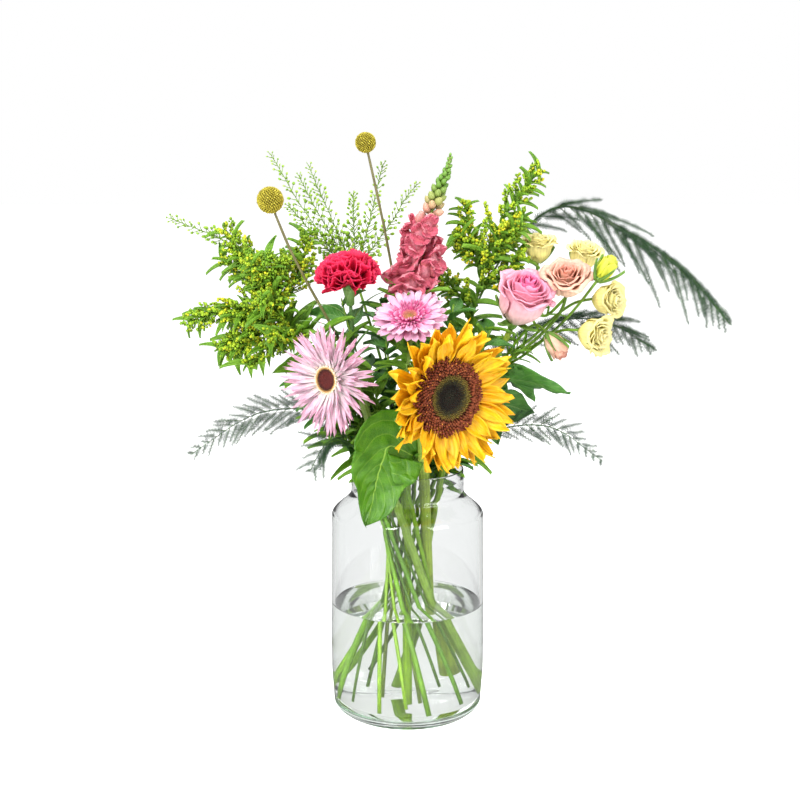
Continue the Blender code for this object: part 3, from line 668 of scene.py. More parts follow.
# ================================================================ stems
def stem(name, node, finish, bumps=0.04, seed=0, sides=14, tip=None):
    """A live stem on its solid's own line, a little uneven, with a swelling where a leaf once sat."""
    line = centreline(node)
    rng = random.Random(seed)
    path = smooth([p for p, r in line], 5)
    radii = []
    nodes = [rng.uniform(0.15, 0.9) for k in range(3)]
    for i in range(len(path)):
        share = i / (len(path) - 1)
        at = share * (len(line) - 1)
        k = min(int(at), len(line) - 2)
        r = line[k][1] + (line[k + 1][1] - line[k][1]) * (at - k)
        swell = sum(math.exp(-(((share - place) / 0.012) ** 2)) for place in nodes)
        radii.append(r * (1 + 2.5 * bumps * swell + bumps * math.sin(share * 31 + seed)))
    if tip:
        path.append(tip)
        radii.append(radii[-1])
    return settle(tube(name, path, radii, sides), finish, node), path


def twigs(name, runs, radius, sides=6):
    """Thin side stems, each along its own path, as one piece."""
    pieces = []
    for path in runs:
        radii = [radius * (1 - 0.5 * i / (len(path) - 1)) for i in range(len(path))]
        pieces.append(tube(name, path, radii, sides))
    return joined(name, pieces)


# ================================================================ the finishes of the bouquet
WHITE = tint("ffffff")
SUN_RAY = petal_finish(
    "sunflower_ray", stops("0.0 f2a604, 0.3 ffce0c, 0.75 ffd810, 1.0 ffdc1e"), tint("feb200"), share=0.75,
    veins=6, vein=0.07, depth=0.0003
)
SUN_SEED = toned_finish(
    "sunflower_seed",
    stops("0.0 2c2c1a, 0.32 1a140e, 0.42 3c3a16, 0.55 746416, 0.63 68300a, 0.8 80380c, 1.0 6c2408"),
    roughness=0.7, depth=0.0003
)
SUN_POLLEN = toned_finish("sunflower_pollen", stops("0.0 eca032, 0.4 964614, 1.0 581e0a"), roughness=0.7)
SUN_LEAF = leaf_finish(
    "sunflower_leaf", tint("306402"), tint("4a8004"), tint("88ae3c"), veins=6, slant=2.8, roughness=0.36,
    glow=0.12, depth=0.0006, fine=0.55
)
BRACT = leaf_finish(
    "bract", tint("426e22"), tint("6c9836"), tint("92b254"), veins=5, slant=3.0, roughness=0.5, glow=0.15
)
SPIDER = petal_finish(
    "spider_petal", stops("0.0 fffff4, 0.42 fffaf8, 0.70 ffe2f0, 1.0 fcc0dc"), tint("ffd0e6"), veins=3,
    vein=0.05, glow=0.36
)
MAROON = toned_finish(
    "maroon_florets", stops("0.0 5c1c1a, 0.5 68201a, 0.74 401612, 0.86 cea05a, 1.0 fcf0d6"), roughness=0.7
)
PINK_RAY = petal_finish(
    "pink_petal", stops("0.0 f698c8, 0.4 ffbee0, 0.85 ffd4ec, 1.0 ffe2f2"), tint("fab0d8"), veins=5, vein=0.10,
    glow=0.34
)
PINK_TUFT = petal_finish(
    "pink_tuft", stops("0.0 ce347a, 0.6 ee64a4, 1.0 fcb0d4"), tint("e45496"), veins=3, vein=0.1, glow=0.2
)
TAN_HEART = toned_finish("tan_heart", stops("0.0 ba9650, 0.6 d68c6e, 1.0 e89696"), roughness=0.7)
CARNATION = petal_finish(
    "carnation_petal", stops("0.0 a00028, 0.5 e40a42, 0.88 f21452, 1.0 fa3870"), tint("d80438"), veins=5,
    vein=0.05, roughness=0.6, glow=0.34
)
SNAP = petal_finish(
    "snapdragon_petal", stops("0.0 e8968c, 0.5 ee768e, 0.85 f07a94, 1.0 fcb4be"), tint("ce5068"), share=0.7,
    veins=6, vein=0.08, roughness=0.6, glow=0.32
)
SNAP_BUD = toned_finish(
    "snapdragon_bud", stops("0.0 ce8282, 0.2 ce9c84, 0.34 96a054, 0.6 608c2c, 1.0 709c3a"), roughness=0.5,
    glow=0.1
)
ROSE = petal_finish(
    "rose_petal", stops("0.0 eae4a6, 0.28 fedece, 0.7 ffb8cc, 1.0 fc9cc0"), tint("ffd8de"), veins=11, vein=0.03,
    glow=0.34, depth=0.0001
)
ROSE_HEART = petal_finish(
    "rose_heart", stops("0.0 f06ea0, 0.6 f660a0, 1.0 ff90c0"), tint("e84688"), veins=11, vein=0.03, depth=0.0001
)
PEACH = petal_finish(
    "peach_petal", stops("0.0 f6ecbe, 0.4 fed8b8, 0.85 fac2a8, 1.0 f2ac9a"), tint("ffe4c8"), veins=10,
    vein=0.05, glow=0.34, depth=0.0001
)
CREAM = petal_finish(
    "cream_petal", stops("0.0 d6e46e, 0.3 fff8a0, 0.85 fffcc4, 1.0 fff8be"), tint("fff28c"), veins=10,
    vein=0.05, glow=0.36, depth=0.0001
)
GREEN_BUD = petal_finish(
    "bud_petal", stops("0.0 aac41e, 0.5 ceda2c, 1.0 e2e854"), tint("dee446"), veins=6, vein=0.05, roughness=0.45
)
MUSTARD = toned_finish(
    "craspedia_floret", stops("0.0 645a08, 0.2 887c0e, 0.6 9c9016, 1.0 baae34"), roughness=0.75, depth=0.0003
)
GOLD_BUD = toned_finish(
    "goldenrod_bud", stops("0.0 709e16, 0.4 96ba1c, 0.72 c2cc1e, 1.0 f0d61c"), roughness=0.6, glow=0.2,
    fleck=0.12
)
POD = toned_finish(
    "pennycress_pod", stops("0.0 88b82c, 0.5 a6d042, 1.0 c4e268"), roughness=0.5, glow=0.4, fleck=0.1
)
NEEDLE = toned_finish("fern_needle", stops("0.0 1e422a, 0.5 2c5432, 1.0 46703e"), roughness=0.5, glow=0.15)
GREENERY = leaf_finish(
    "greenery", tint("528818"), tint("7aac2a"), tint("96b850"), veins=7, slant=3.2, glow=0.28
)
DARK_LEAF = leaf_finish(
    "dark_leaf", tint("2c621e"), tint("48802c"), tint("6e964e"), veins=8, slant=2.4, roughness=0.34, glow=0.15
)
CALYX = leaf_finish(
    "calyx", tint("50843c"), tint("7ca654"), tint("9ebc74"), veins=4, slant=2.0, roughness=0.5, glow=0.15
)
TWIG = stem_finish("twig", tint("7aaa2c"), tint("92be3c"))
FERN_TWIG = stem_finish("fern_twig", tint("567c22"), tint("426c34"))


# ================================================================ the sunflower
def sunflower():
    rng = random.Random(3)
    head = head_on("sunflower_stem")
    high, disc = extent("sunflower_disc", head)[1:]
    reach = extent("sunflower_rays", head)[2]
    disc *= 0.95
    base = stance(head.foot + head.axis * (high - 0.009), head.axis)
    length = 0.97 * reach - 0.84 * disc
    rays = []
    for k in range(9):
        phase, curl, twist = rng.uniform(0, 6), rng.uniform(-0.22, 0.36), rng.uniform(-0.16, 0.16)

        def rise(side, v, phase=phase, curl=curl, twist=twist):
            groove = 0.035 * math.cos(math.pi * side * 2) * (1 - v)
            crease = 0.05 * math.sin(5.5 * side + phase) * math.sin(4 * v + phase) * v
            return (0.10 * v + 0.10 * v * v + curl * max(0, v - 0.45) ** 2 * 2 + 0.10 * abs(side) ** 2 + groove
                    + twist * side * v + 0.03 * math.sin(9 * v + phase) * side + crease)

        def edge(side, v, phase=phase):
            return (0.03 * math.sin(4 * side + phase) + 0.10 * side * math.sin(phase)) * v * v

        def outline(v, peak=0.36 + 0.14 * (k % 4) / 3):
            return bulge(v, 0.62, peak, 1.15)

        rays.append(petal(
            "ray", length * (1 - 0.07 * (k % 3)), 0.0172 + 0.0014 * (k % 3), (8, 14), outline, rise, edge=edge,
            wall=0.00035
        ))
    places = rings(base, rng, [
        (22, 0.84 * disc, 15, -0.0005, 0.1, (0.10, 9, 18), (0.78, 0.98)),
        (22, 0.84 * disc, 6, -0.0030, 0.26, (0.10, 8, 18), (0.86, 1.04)),
        (10, 0.84 * disc, 20, 0.0006, 0.4, (0.16, 9, 18), (0.60, 0.84)),
    ])
    tones = [rng.random() * 0.7 for p in places[:22]] + [0.3 + rng.random() * 0.7 for p in places[22:]]
    settle(planted("sunflower_rays_looks", rays, places, tones), SUN_RAY, "sunflower_rays")

    # The disc: a dark heart, an olive ring of buds, and open florets round them.
    profile = [
        (0, 0.0045), (0.3 * disc, 0.0050), (0.6 * disc, 0.0062), (0.86 * disc, 0.0050), (0.99 * disc, 0.0005),
        (0.99 * disc, -0.006), (0.6 * disc, -0.012), (0.25 * disc, -0.017), (0.006, -0.020), (0, -0.020),
    ]
    back = toned(turned("sunflower_base", profile, 40, base), 0.72)
    settle(back, SUN_SEED, "sunflower_disc")

    def height(share):
        dome = 0.0035 * math.sin(math.pi * min(1, share * 1.02) ** 1.6)
        return 0.0042 + dome - 0.002 * max(0, share - 0.8) * 5

    inner, shares = seeded(base, rng, 520, 0.0, 0.60 * disc, height=lambda s: height(s * 0.60), lean=0.25)
    inner = [p @ Matrix.Scale(rng.uniform(0.75, 1.25), 4, (0, 0, 1)) for p in inner]
    heart = planted(
        "sunflower_heart", [bud("seed", 0.00078, 0.0030, fullness=0.5)], inner,
        [s * 0.60 + rng.uniform(-0.05, 0.05) for s in shares]
    )
    settle(heart, SUN_SEED)
    outer, shares = seeded(base, rng, 560, 0.60 * disc, 1.0 * disc, height=height, lean=0.85, sizes=(0.8, 1.35))
    floret = turned(
        "floret",
        [(0, 0), (0.0007, 0.0006), (0.00055, 0.0024), (0.0011, 0.0040), (0.0004, 0.0047), (0, 0.0040)], 6,
        Matrix()
    )
    settle(
        planted(
            "sunflower_florets", [floret], outer, [0.48 + 0.5 * s + rng.uniform(-0.10, 0.10) for s in shares]
        ),
        SUN_SEED
    )
    tips = [p @ moved(0, 0, 0.0040) for i, p in enumerate(outer) if i % 2]
    strewn("sunflower_pollen", [bud("grain", 0.00042, 0.0013, sides=5, rings=3)], tips, rng, SUN_POLLEN)

    # Bracts behind the rays, in two rings.
    def cup(side, v):
        return -0.10 * v + 0.30 * v * v + 0.10 * side * side

    bracts = [
        petal(
            "bract", 0.032 - 0.003 * k, 0.0125, (6, 9), bulged(0.75, 0.28, 0.8), cup, wall=0.0005
        ) for k in range(2)
    ]
    rear = base @ moved(0, 0, -0.008)
    places = whorl(rear, rng, 15, 0.52 * disc, -14, 0.0, 0.0, (0.1, 10, 8)) + whorl(
        rear, rng, 14, 0.45 * disc, -30, -0.003, 0.2, (0.1, 10, 8)
    )
    strewn("sunflower_bract_rings", bracts, places, rng, BRACT, "sunflower_bracts")
    skin = stem_finish(
        "sunflower_stem_skin", tint("96b03a"), tint("86a43e"), flush=tint("709632"), ribs=11, roughness=0.55
    )
    stem(
        "sunflower_stalk", "sunflower_stem", skin, bumps=0.03, seed=1, sides=18,
        tip=head.foot + head.axis * 0.006
    )


def sunflower_leaf():
    """The big heart-shaped leaf that hangs before the neck, and its stalk from the sunflower's stem."""
    spine = spine_of("sunflower_leaf", 7)
    if spine[0].z < spine[-1].z:
        spine.reverse()
    face = facing_of("sunflower_leaf", Vector((-0.2, -1, 0.2)))
    low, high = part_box("sunflower_leaf")
    top, tip = spine[0], spine[-1]
    across = (tip - top).cross(face).normalized()
    if across.x > 0:
        across = -across

    def outline(v):
        if v < 0.22:
            return 0.30 + 0.70 * math.sin(0.5 * math.pi * v / 0.22) ** 0.8
        return max(0, 1 - ((v - 0.22) / 0.78) ** 1.25) ** 0.70

    # The blade is hollow along its midrib, its two lobes curl, and its tip turns down.
    points = [top + (p - top) * 1.02 for p in spine]
    piece = bent_leaf(
        "sunflower_leaf_blade", points, face, 1.16 * (high.x - low.x), outline, cells=(26, 44), hollow=0.16,
        ripple=0.05, teeth=0.03, seed=4, lobes=0.10
    )
    stalk_path = centreline("sunflower_stem")
    joint = min((p for p, r in stalk_path), key=lambda p: (p - top).length)
    stalk = tube("stalk", sweep(joint, Vector((-0.6, -0.6, 0.5)), top, tip - top, 10, 0.8), [0.0019] * 11, 10)
    settle(joined("sunflower_leaf_looks", [toned(piece, 0.15), toned(stalk, 0.6)]), SUN_LEAF, "sunflower_leaf")


# ================================================================ the gerberas
def spider_gerbera():
    rng = random.Random(5)
    head = head_on("spider_gerbera_stem")
    high, disc = extent("spider_gerbera_disc", head)[1:]
    reach = extent("spider_gerbera_rays", head)[2]
    base = stance(head.foot + head.axis * (high - 0.002), head.axis)
    disc *= 1.12
    length = 0.98 * reach - 0.6 * disc

    def forked(side, v):
        return -0.10 * (1 - abs(side)) * max(0, (v - 0.7) / 0.3) ** 2 + 0.03 * side * v

    shapes = []
    for k in range(9):
        bend, phase = rng.uniform(-0.16, 0.30), rng.uniform(0, 6)

        def rise(side, v, bend=bend, phase=phase):
            return 0.05 * v + bend * v * v + 0.035 * abs(side) + 0.03 * math.sin(5 * v + phase) * (
                v + side * 0.5
            )

        shapes.append(petal(
            "strap", length, 0.0044, (4, 10), lambda v: bulge(v, 0.55, 0.5) * 0.72 + 0.28, rise, edge=forked,
            wall=0.0003
        ))
    places = rings(base, rng, [
        (82, 0.6 * disc, -3, -0.0014, 0.0, (0.09, 8, 24), (0.80, 1.02)),
        (78, 0.58 * disc, 8, 0.0002, 0.05, (0.10, 9, 24), (0.68, 0.96)),
        (66, 0.6 * disc, 20, 0.0010, 0.09, (0.12, 10, 24), (0.46, 0.74)),
        (50, 0.8 * disc, 26, 0.0014, 0.02, (0.12, 10, 24), (0.22, 0.38)),
    ])
    strewn("spider_gerbera_petals", shapes, places, rng, SPIDER, "spider_gerbera_rays")
    places, shares = seeded(base, rng, 330, 0.0, disc, height=lambda s: 0.0015 + 0.0022 * s * s, lean=-0.15)
    heart = planted("spider_gerbera_heart", [bud("floret", 0.00075, 0.0032, fullness=0.6)], places, shares)
    settle(heart, MAROON, "spider_gerbera_disc")
    ring = rings(base, rng, [
        (52, 0.95 * disc, 50, 0.001, 0.0, (0.1, 10, 10), (0.8, 1.2)),
        (60, 1.06 * disc, 26, 0.0012, 0.1, (0.1, 10, 10), (0.8, 1.3)),
    ])
    tuft = petal(
        "thread", 0.0064, 0.0009, (3, 5), lambda v: 1 - 0.6 * v, lambda side, v: 0.1 * v * v, wall=0.0002
    )
    settle(planted("spider_gerbera_ring", [tuft], ring, [0.86 + 0.14 * rng.random() for p in ring]), MAROON)
    profile = [
        (0, 0.001), (0.8 * disc, 0.001), (1.1 * disc, -0.002), (0.9 * disc, -0.006), (0.0042, -0.011),
        (0, -0.011)
    ]
    settle(toned(turned("spider_gerbera_cup", profile, 24, base), 0.3), BRACT)
    skin = stem_finish(
        "spider_gerbera_skin", tint("7ea038"), tint("88a846"), flush=tint("96b064"), ribs=9, roughness=0.5
    )
    stem(
        "spider_gerbera_stalk", "spider_gerbera_stem", skin, bumps=0.02, seed=2, sides=16,
        tip=head.foot + head.axis * 0.002
    )


def pink_gerbera():
    rng = random.Random(8)
    head = head_on("pink_gerbera_stem")
    low, _, tuft = extent("pink_gerbera_tuft", head)
    reach = extent("pink_gerbera_rays", head)[2]
    base = stance(head.foot + head.axis * (low + 0.002), head.axis)
    length = reach - 0.25 * tuft
    shapes = []
    for k in range(5):
        bend, phase = rng.uniform(-0.12, 0.06), rng.uniform(0, 6)

        def rise(side, v, bend=bend, phase=phase):
            return 0.14 * v + bend * v * v + 0.05 * side * side + 0.012 * math.sin(6 * v + phase)

        def blunt(v):
            return min(1, 0.42 + 1.1 * v) * max(0, 1 - max(0, (v - 0.8) / 0.2) ** 2.4) ** 0.5

        shapes.append(petal("ray", length, 0.0070, (6, 10), blunt, rise, wall=0.00035))
    places = rings(base, rng, [
        (26, 0.25 * tuft, 1, -0.001, 0.0, (0.06, 4, 10), (0.93, 1.02)),
        (26, 0.25 * tuft, 9, 0.0012, 0.12, (0.06, 4, 10), (0.82, 0.95)),
    ])
    strewn("pink_gerbera_petals", shapes, places, rng, PINK_RAY, "pink_gerbera_rays")
    short = [petal(
        "tube", 0.0098, 0.0024, (4, 6), lambda v: bulge(v, 0.6, 0.5) * 0.85 + 0.15,
        lambda s, v: 0.25 * s * s + 0.12 * v * v, wall=0.0003
    )]
    places = rings(base, rng, [
        (34, 0.36 * tuft, 26, 0.0022, 0.0, (0.1, 8, 20), (0.8, 1.1)),
        (28, 0.30 * tuft, 44, 0.0030, 0.1, (0.1, 8, 20), (0.6, 0.85)),
        (46, 0.62 * tuft, 20, 0.0020, 0.1, (0.1, 9, 20), (0.8, 1.1)),
    ])
    strewn("pink_gerbera_tube_ring", short, places, rng, PINK_TUFT, "pink_gerbera_tuft")
    places, shares = seeded(base, rng, 120, 0.0, 0.40 * tuft, height=lambda s: 0.0035 + 0.0012 * s, lean=-0.1)
    settle(planted("pink_gerbera_heart", [bud("floret", 0.00045, 0.0028)], places, shares), TAN_HEART)
    profile = [
        (0, 0.002), (0.35 * tuft, 0.003), (0.45 * tuft, 0.0), (0.35 * tuft, -0.005), (0.0022, -0.009),
        (0, -0.009)
    ]
    settle(toned(turned("pink_gerbera_cup", profile, 20, base), 0.3), BRACT)
    skin = stem_finish("pink_gerbera_skin", tint("7ca808"), tint("608c24"), flush=tint("78803c"), ribs=7)
    stem(
        "pink_gerbera_stalk", "pink_gerbera_stem", skin, bumps=0.02, seed=3, sides=12,
        tip=base @ Vector((0, 0, -0.007))
    )


# ================================================================ the carnation
def carnation():
    rng = random.Random(11)
    head = head_on("carnation_stem")
    low, high, wide = extent("carnation_petals", head)
    calyx = extent("carnation_calyx", head)
    base = stance(head.foot + head.axis * (low + 0.003), head.axis)
    tall = high - low
    shapes = []
    for k in range(10):
        phase, turns = rng.uniform(0, 6), rng.uniform(1.1, 2.2)

        def rise(side, v, phase=phase, turns=turns):
            wave = 0.10 * math.sin(turns * math.pi * side + phase) * v**1.8 + 0.035 * math.sin(
                11 * side + 2 * phase
            ) * v**4
            return wave + 0.10 * v * v + 0.05 * noise.noise(Vector((3 * side, 3 * v, phase * 9))) * v

        def toothed(side, v, phase=phase):
            return (0.09 * abs(((side * 6 + phase) % 1) * 2 - 1) - 0.25 * side * side) * v**4

        shapes.append(petal(
            "fan", 1.0, 1.15, (24, 10), lambda v: 0.10 + 0.90 * v, rise, edge=toothed, wall=0.010
        ))
    places, tones = [], []
    count = 54
    for i in range(count):
        share = math.sqrt((i + 0.5) / count)
        lean = 86 - 68 * share**1.15 + rng.uniform(-12, 12)
        size = wide * (0.92 + 0.10 * math.sin(share * 3)) * rng.uniform(0.92, 1.04) * (0.84 + 0.16 * share)
        places.append(
            base
            @ swung(i * GOLDEN_TURN, "Z")
            @ moved(0, 0.08 * wide * share, 0.10 * tall * (1 - share))
            @ swung(math.radians(lean), "X")
            @ swung(rng.uniform(-0.5, 0.5), "Y")
            @ sized(size)
        )
        tones.append(rng.random())
    settle(planted("carnation_bloom", shapes, places, tones), CARNATION, "carnation_petals")
    r = calyx[2]
    foot = base @ moved(0, 0, calyx[0] - low)
    deep = calyx[1] - calyx[0]
    profile = [
        (0, 0), (0.3 * r, 0), (0.62 * r, 0.08 * deep), (0.75 * r, 0.5 * deep), (r, 0.98 * deep),
        (0.8 * r, 0.99 * deep), (0, 0.9 * deep)
    ]
    cup = toned(turned("carnation_cup", profile, 20, foot), 0.4)
    teeth = [petal(
        "tooth", 0.007, 0.0058, (4, 5), bulged(0.9, 0.2, 0.9), lambda s, v: 0.12 * s * s, wall=0.0004
    )]
    places = whorl(foot @ moved(0, 0, 0.85 * deep), rng, 5, 0.9 * r, 74, 0, 0.3, (0.05, 4, 3))
    crown = planted("carnation_crown", teeth, places, [0.5] * 5)
    settle(joined("carnation_calyx_looks", [cup, crown]), CALYX, "carnation_calyx")
    skin = stem_finish(
        "carnation_skin", tint("649418"), tint("54843a"), flush=tint("689258"), ribs=9, roughness=0.55
    )
    path = stem(
        "carnation_stalk", "carnation_stem", skin, bumps=0.10, seed=4, sides=12,
        tip=head.foot + head.axis * (calyx[0] + 0.002)
    )[1]
    blades = [petal(
        "blade", 0.060, 0.0042, (4, 16), bulged(0.9, 0.2, 0.7),
        lambda s, v: 0.12 * s * s * 0.1 + 0.10 * v - 0.45 * v**3, wall=0.0004
    )]
    places = []
    for share, side in ((0.70, 1), (0.70, -1), (0.84, 1), (0.84, -1)):
        at, way = at_share(path, share)
        out = way.cross(Vector((0.4, -1, 0.1))).normalized() * side
        places.append(laid(at, way * 0.8 + out * 0.7, -out + way, 0.8 if share > 0.8 else 1.0))
    settle(planted("carnation_leaves", blades, places, [0.2, 0.5, 0.7, 0.9]), CALYX)


# ================================================================ the snapdragon
def snapdragon():
    rng = random.Random(14)
    spine = spine_of("snapdragon_florets", 7)
    spike = smooth(spine, 6)
    low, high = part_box("snapdragon_florets")
    reach = 0.5 * (high.x - low.x)

    # One open floret: a pouch, two lips above its mouth and three below.
    def pouch(u, v):
        turn = FULL_TURN * u
        r = 0.0048 + 0.0040 * math.sin(0.5 * math.pi * v) if 0 < v < 1 else 0.0
        return Vector((
            r * math.cos(turn), 0.017 * v, 1.25 * r * math.sin(turn) + 0.0015 * math.sin(math.pi * v)
        ))

    def lobe_rise(side, v):
        ruffle = 0.13 * math.sin(7 * side + 2) * v * v + 0.10 * noise.noise(Vector((4 * side, 4 * v, 7)))
        return 0.30 * v * v - 0.16 * side * side + ruffle

    def lobe(v):
        if v < 0.5:
            return 0.55 + 0.45 * math.sin(math.pi * v)
        return max(0.12, math.sin(math.pi * min(1, v)) ** 0.45) if v < 1 else 0.12

    shapes = []
    for k in range(4):
        body = closed(blade("pouch", 12, 8, pouch))
        lips = [petal(
            "lip", 0.0155, 0.0205, (14, 9), lobe, lobe_rise, edge=lambda s, v: 0.05 * math.sin(9 * s) * v**3,
            wall=0.0004
        )]
        places = []
        for side, up, size in (
            (-0.55, 0.85, 1.0), (0.55, 0.85, 1.0), (-0.85, -0.55, 0.9), (0.85, -0.55, 0.9), (0, -1, 0.95)
        ):
            way = Vector((side, 0.42 + rng.uniform(-0.15, 0.2), up))
            places.append(laid(
                Vector((side * 0.004, 0.0140, up * 0.005)), way, Vector((-0.2 * side, 1, -0.3 * up)), size
            ))
        crown = planted("lips", lips, places, [0.3 + 0.5 * rng.random() for p in places])
        shapes.append(joined("open_floret", [toned(body, 0.9), crown]))
    places, tones = [], []
    count = 25
    for i in range(count):
        share = i / (count - 1)
        at, way = at_share(spike, 0.03 + 0.93 * share)
        base = stance(at, way, Vector((0, 1, 0)))
        size = (1.02 - 0.42 * share) * reach / 0.0255 * rng.uniform(0.86, 1.08)
        drop = math.radians(-16 + 34 * share + rng.uniform(-8, 8))
        places.append(base @ swung(i * 2.25, "Z") @ moved(0, 0.002, 0) @ swung(drop, "X") @ sized(size))
        tones.append(0)
    piece = planted("snapdragon_open_florets", shapes, places, tones)
    piece.data.attributes["tone"].data.foreach_set(
        "value", [0.5 + 0.5 * noise.noise(v.co * 60) for v in piece.data.vertices]
    )
    settle(piece, SNAP, "snapdragon_florets")

    tips = smooth([spike[-4], *spine_of("snapdragon_buds", 7)[1:]], 6)
    places, tones = [], []
    count = 44
    for i in range(count):
        share = i / (count - 1)
        at, way = at_share(tips, share * 0.98)
        base = stance(at, way, Vector((0, 1, 0)))
        size = (1.30 - 0.95 * share) * rng.uniform(0.9, 1.1)
        lean = math.radians(62 - 44 * share)
        places.append(
            base @ swung(i * GOLDEN_TURN, "Z") @ swung(-lean, "X") @ moved(0, 0, 0.0015) @ sized(size)
        )
        tones.append(min(1, share * 1.1 + 0.02))
    closed_bud = bud("bud", 0.0036, 0.0115, sides=9, rings=7, fullness=0.75)
    settle(planted("snapdragon_closed_buds", [closed_bud], places, tones), SNAP_BUD, "snapdragon_buds")
    skin = stem_finish("snapdragon_skin", tint("84ae0e"), tint("70a024"), flush=tint("848046"), ribs=8)
    path = stem("snapdragon_stalk", "snapdragon_stem", skin, seed=5, sides=12)[1]
    blades = [lance("leaf", 0.052, 0.0110), lance("leaf", 0.040, 0.0085)]
    foliage(
        "snapdragon_leaves", path, rng, low=0.60, high=0.97, count=30, blades=blades, finish=GREENERY, rise=0.9
    )
    radii = [0.0024] * 3 + [0.0022] * (len(spike) - 1) + [0.0015] * (len(tips) - 1)
    settle(tube("snapdragon_spike_core", [*path[-3:], *spike[1:], *tips[1:]], radii, 8), skin)


# ================================================================ the rose and the lisianthus
def pointed(v):
    return bulge(v, 0.35, 0.42, 0.95)


def rose():
    rng = random.Random(17)
    head = head_on("rose_stem")
    low, high, wide = extent("rose_bloom", head)
    base = stance(head.foot + head.axis * low, head.axis)
    tall = high - low
    outer = wound(
        "rose_outer", base, radius=0.86 * wide, height=0.92 * tall, count=17, spread=0.35, seed=3, wall=0.0004,
        lean=0.30, heart=0.40
    )
    settle(outer, ROSE, "rose_bloom")
    heart = wound(
        "rose_heart", base @ moved(0, 0, 0.20 * tall), radius=0.36 * wide, height=0.80 * tall, count=11,
        spread=0.05, seed=4, lean=0.10, heart=0.30
    )
    settle(heart, ROSE_HEART)
    hip = [(0, -0.010), (0.0026, -0.010), (0.0048, -0.006), (0.0056, -0.001), (0.009, 0.003), (0.0, 0.004)]
    cup = toned(turned("rose_hip", hip, 18, base), 0.5)
    sepals = [petal(
        "sepal", 0.026, 0.0085, (5, 10), bulged(0.8, 0.18, 0.7),
        lambda s, v: -0.25 * v + 0.35 * v * v + 0.1 * s * s, wall=0.0004
    )]
    places = whorl(base, rng, 5, 0.006, 20, 0.0, 0.5, (0.2, 16, 10))
    sepals = planted("sepals", sepals, places, [rng.random() for p in places])
    settle(joined("rose_sepal_cup", [cup, sepals]), BRACT, "rose_sepals")
    skin = stem_finish("rose_skin", tint("749e08"), tint("7e9e1e"), flush=tint("9cb040"), ribs=7, roughness=0.4)
    path = stem("rose_stalk", "rose_stem", skin, seed=6, tip=head.foot)[1]
    for k, (node, width, growth) in enumerate((
        ("rose_leaf_upper", 0.040, 1.40), ("rose_leaf_lower", 0.042, 1.15)
    )):
        spine = spine_of(node, 6)
        near = min(path, key=lambda p: (p - spine[0]).length)
        if (near - spine[-1]).length < (near - spine[0]).length:
            spine.reverse()
            near = min(path, key=lambda p: (p - spine[0]).length)
        spine = [spine[0] + (p - spine[0]) * growth for p in spine]
        face = facing_of(node, Vector((0, -1, 0.8)))
        main = bent_leaf(
            node + "_blade", spine, face, width, pointed, cells=(12, 26), ripple=0.04, teeth=0.16, seed=k
        )
        way = (spine[-1] - spine[0]).normalized()
        side = way.cross(face)
        pair = []
        for s in (side, -side):
            points = [
                spine[1], spine[1] + way * 0.012 + s * 0.016, spine[1] + way * 0.020 + s * 0.034 - UP * 0.006
            ]
            pair.append(bent_leaf(
                "leaflet", points, face, 0.62 * width, pointed, cells=(10, 18), ripple=0.04, teeth=0.16,
                seed=k + 5
            ))
        stalk = tube("stalk", sweep(near, way, spine[1], way, 6), [0.0009] * 7, 6)
        settle(joined(node + "_spray", [toned(p, 0.2) for p in (main, *pair, stalk)]), DARK_LEAF, node)


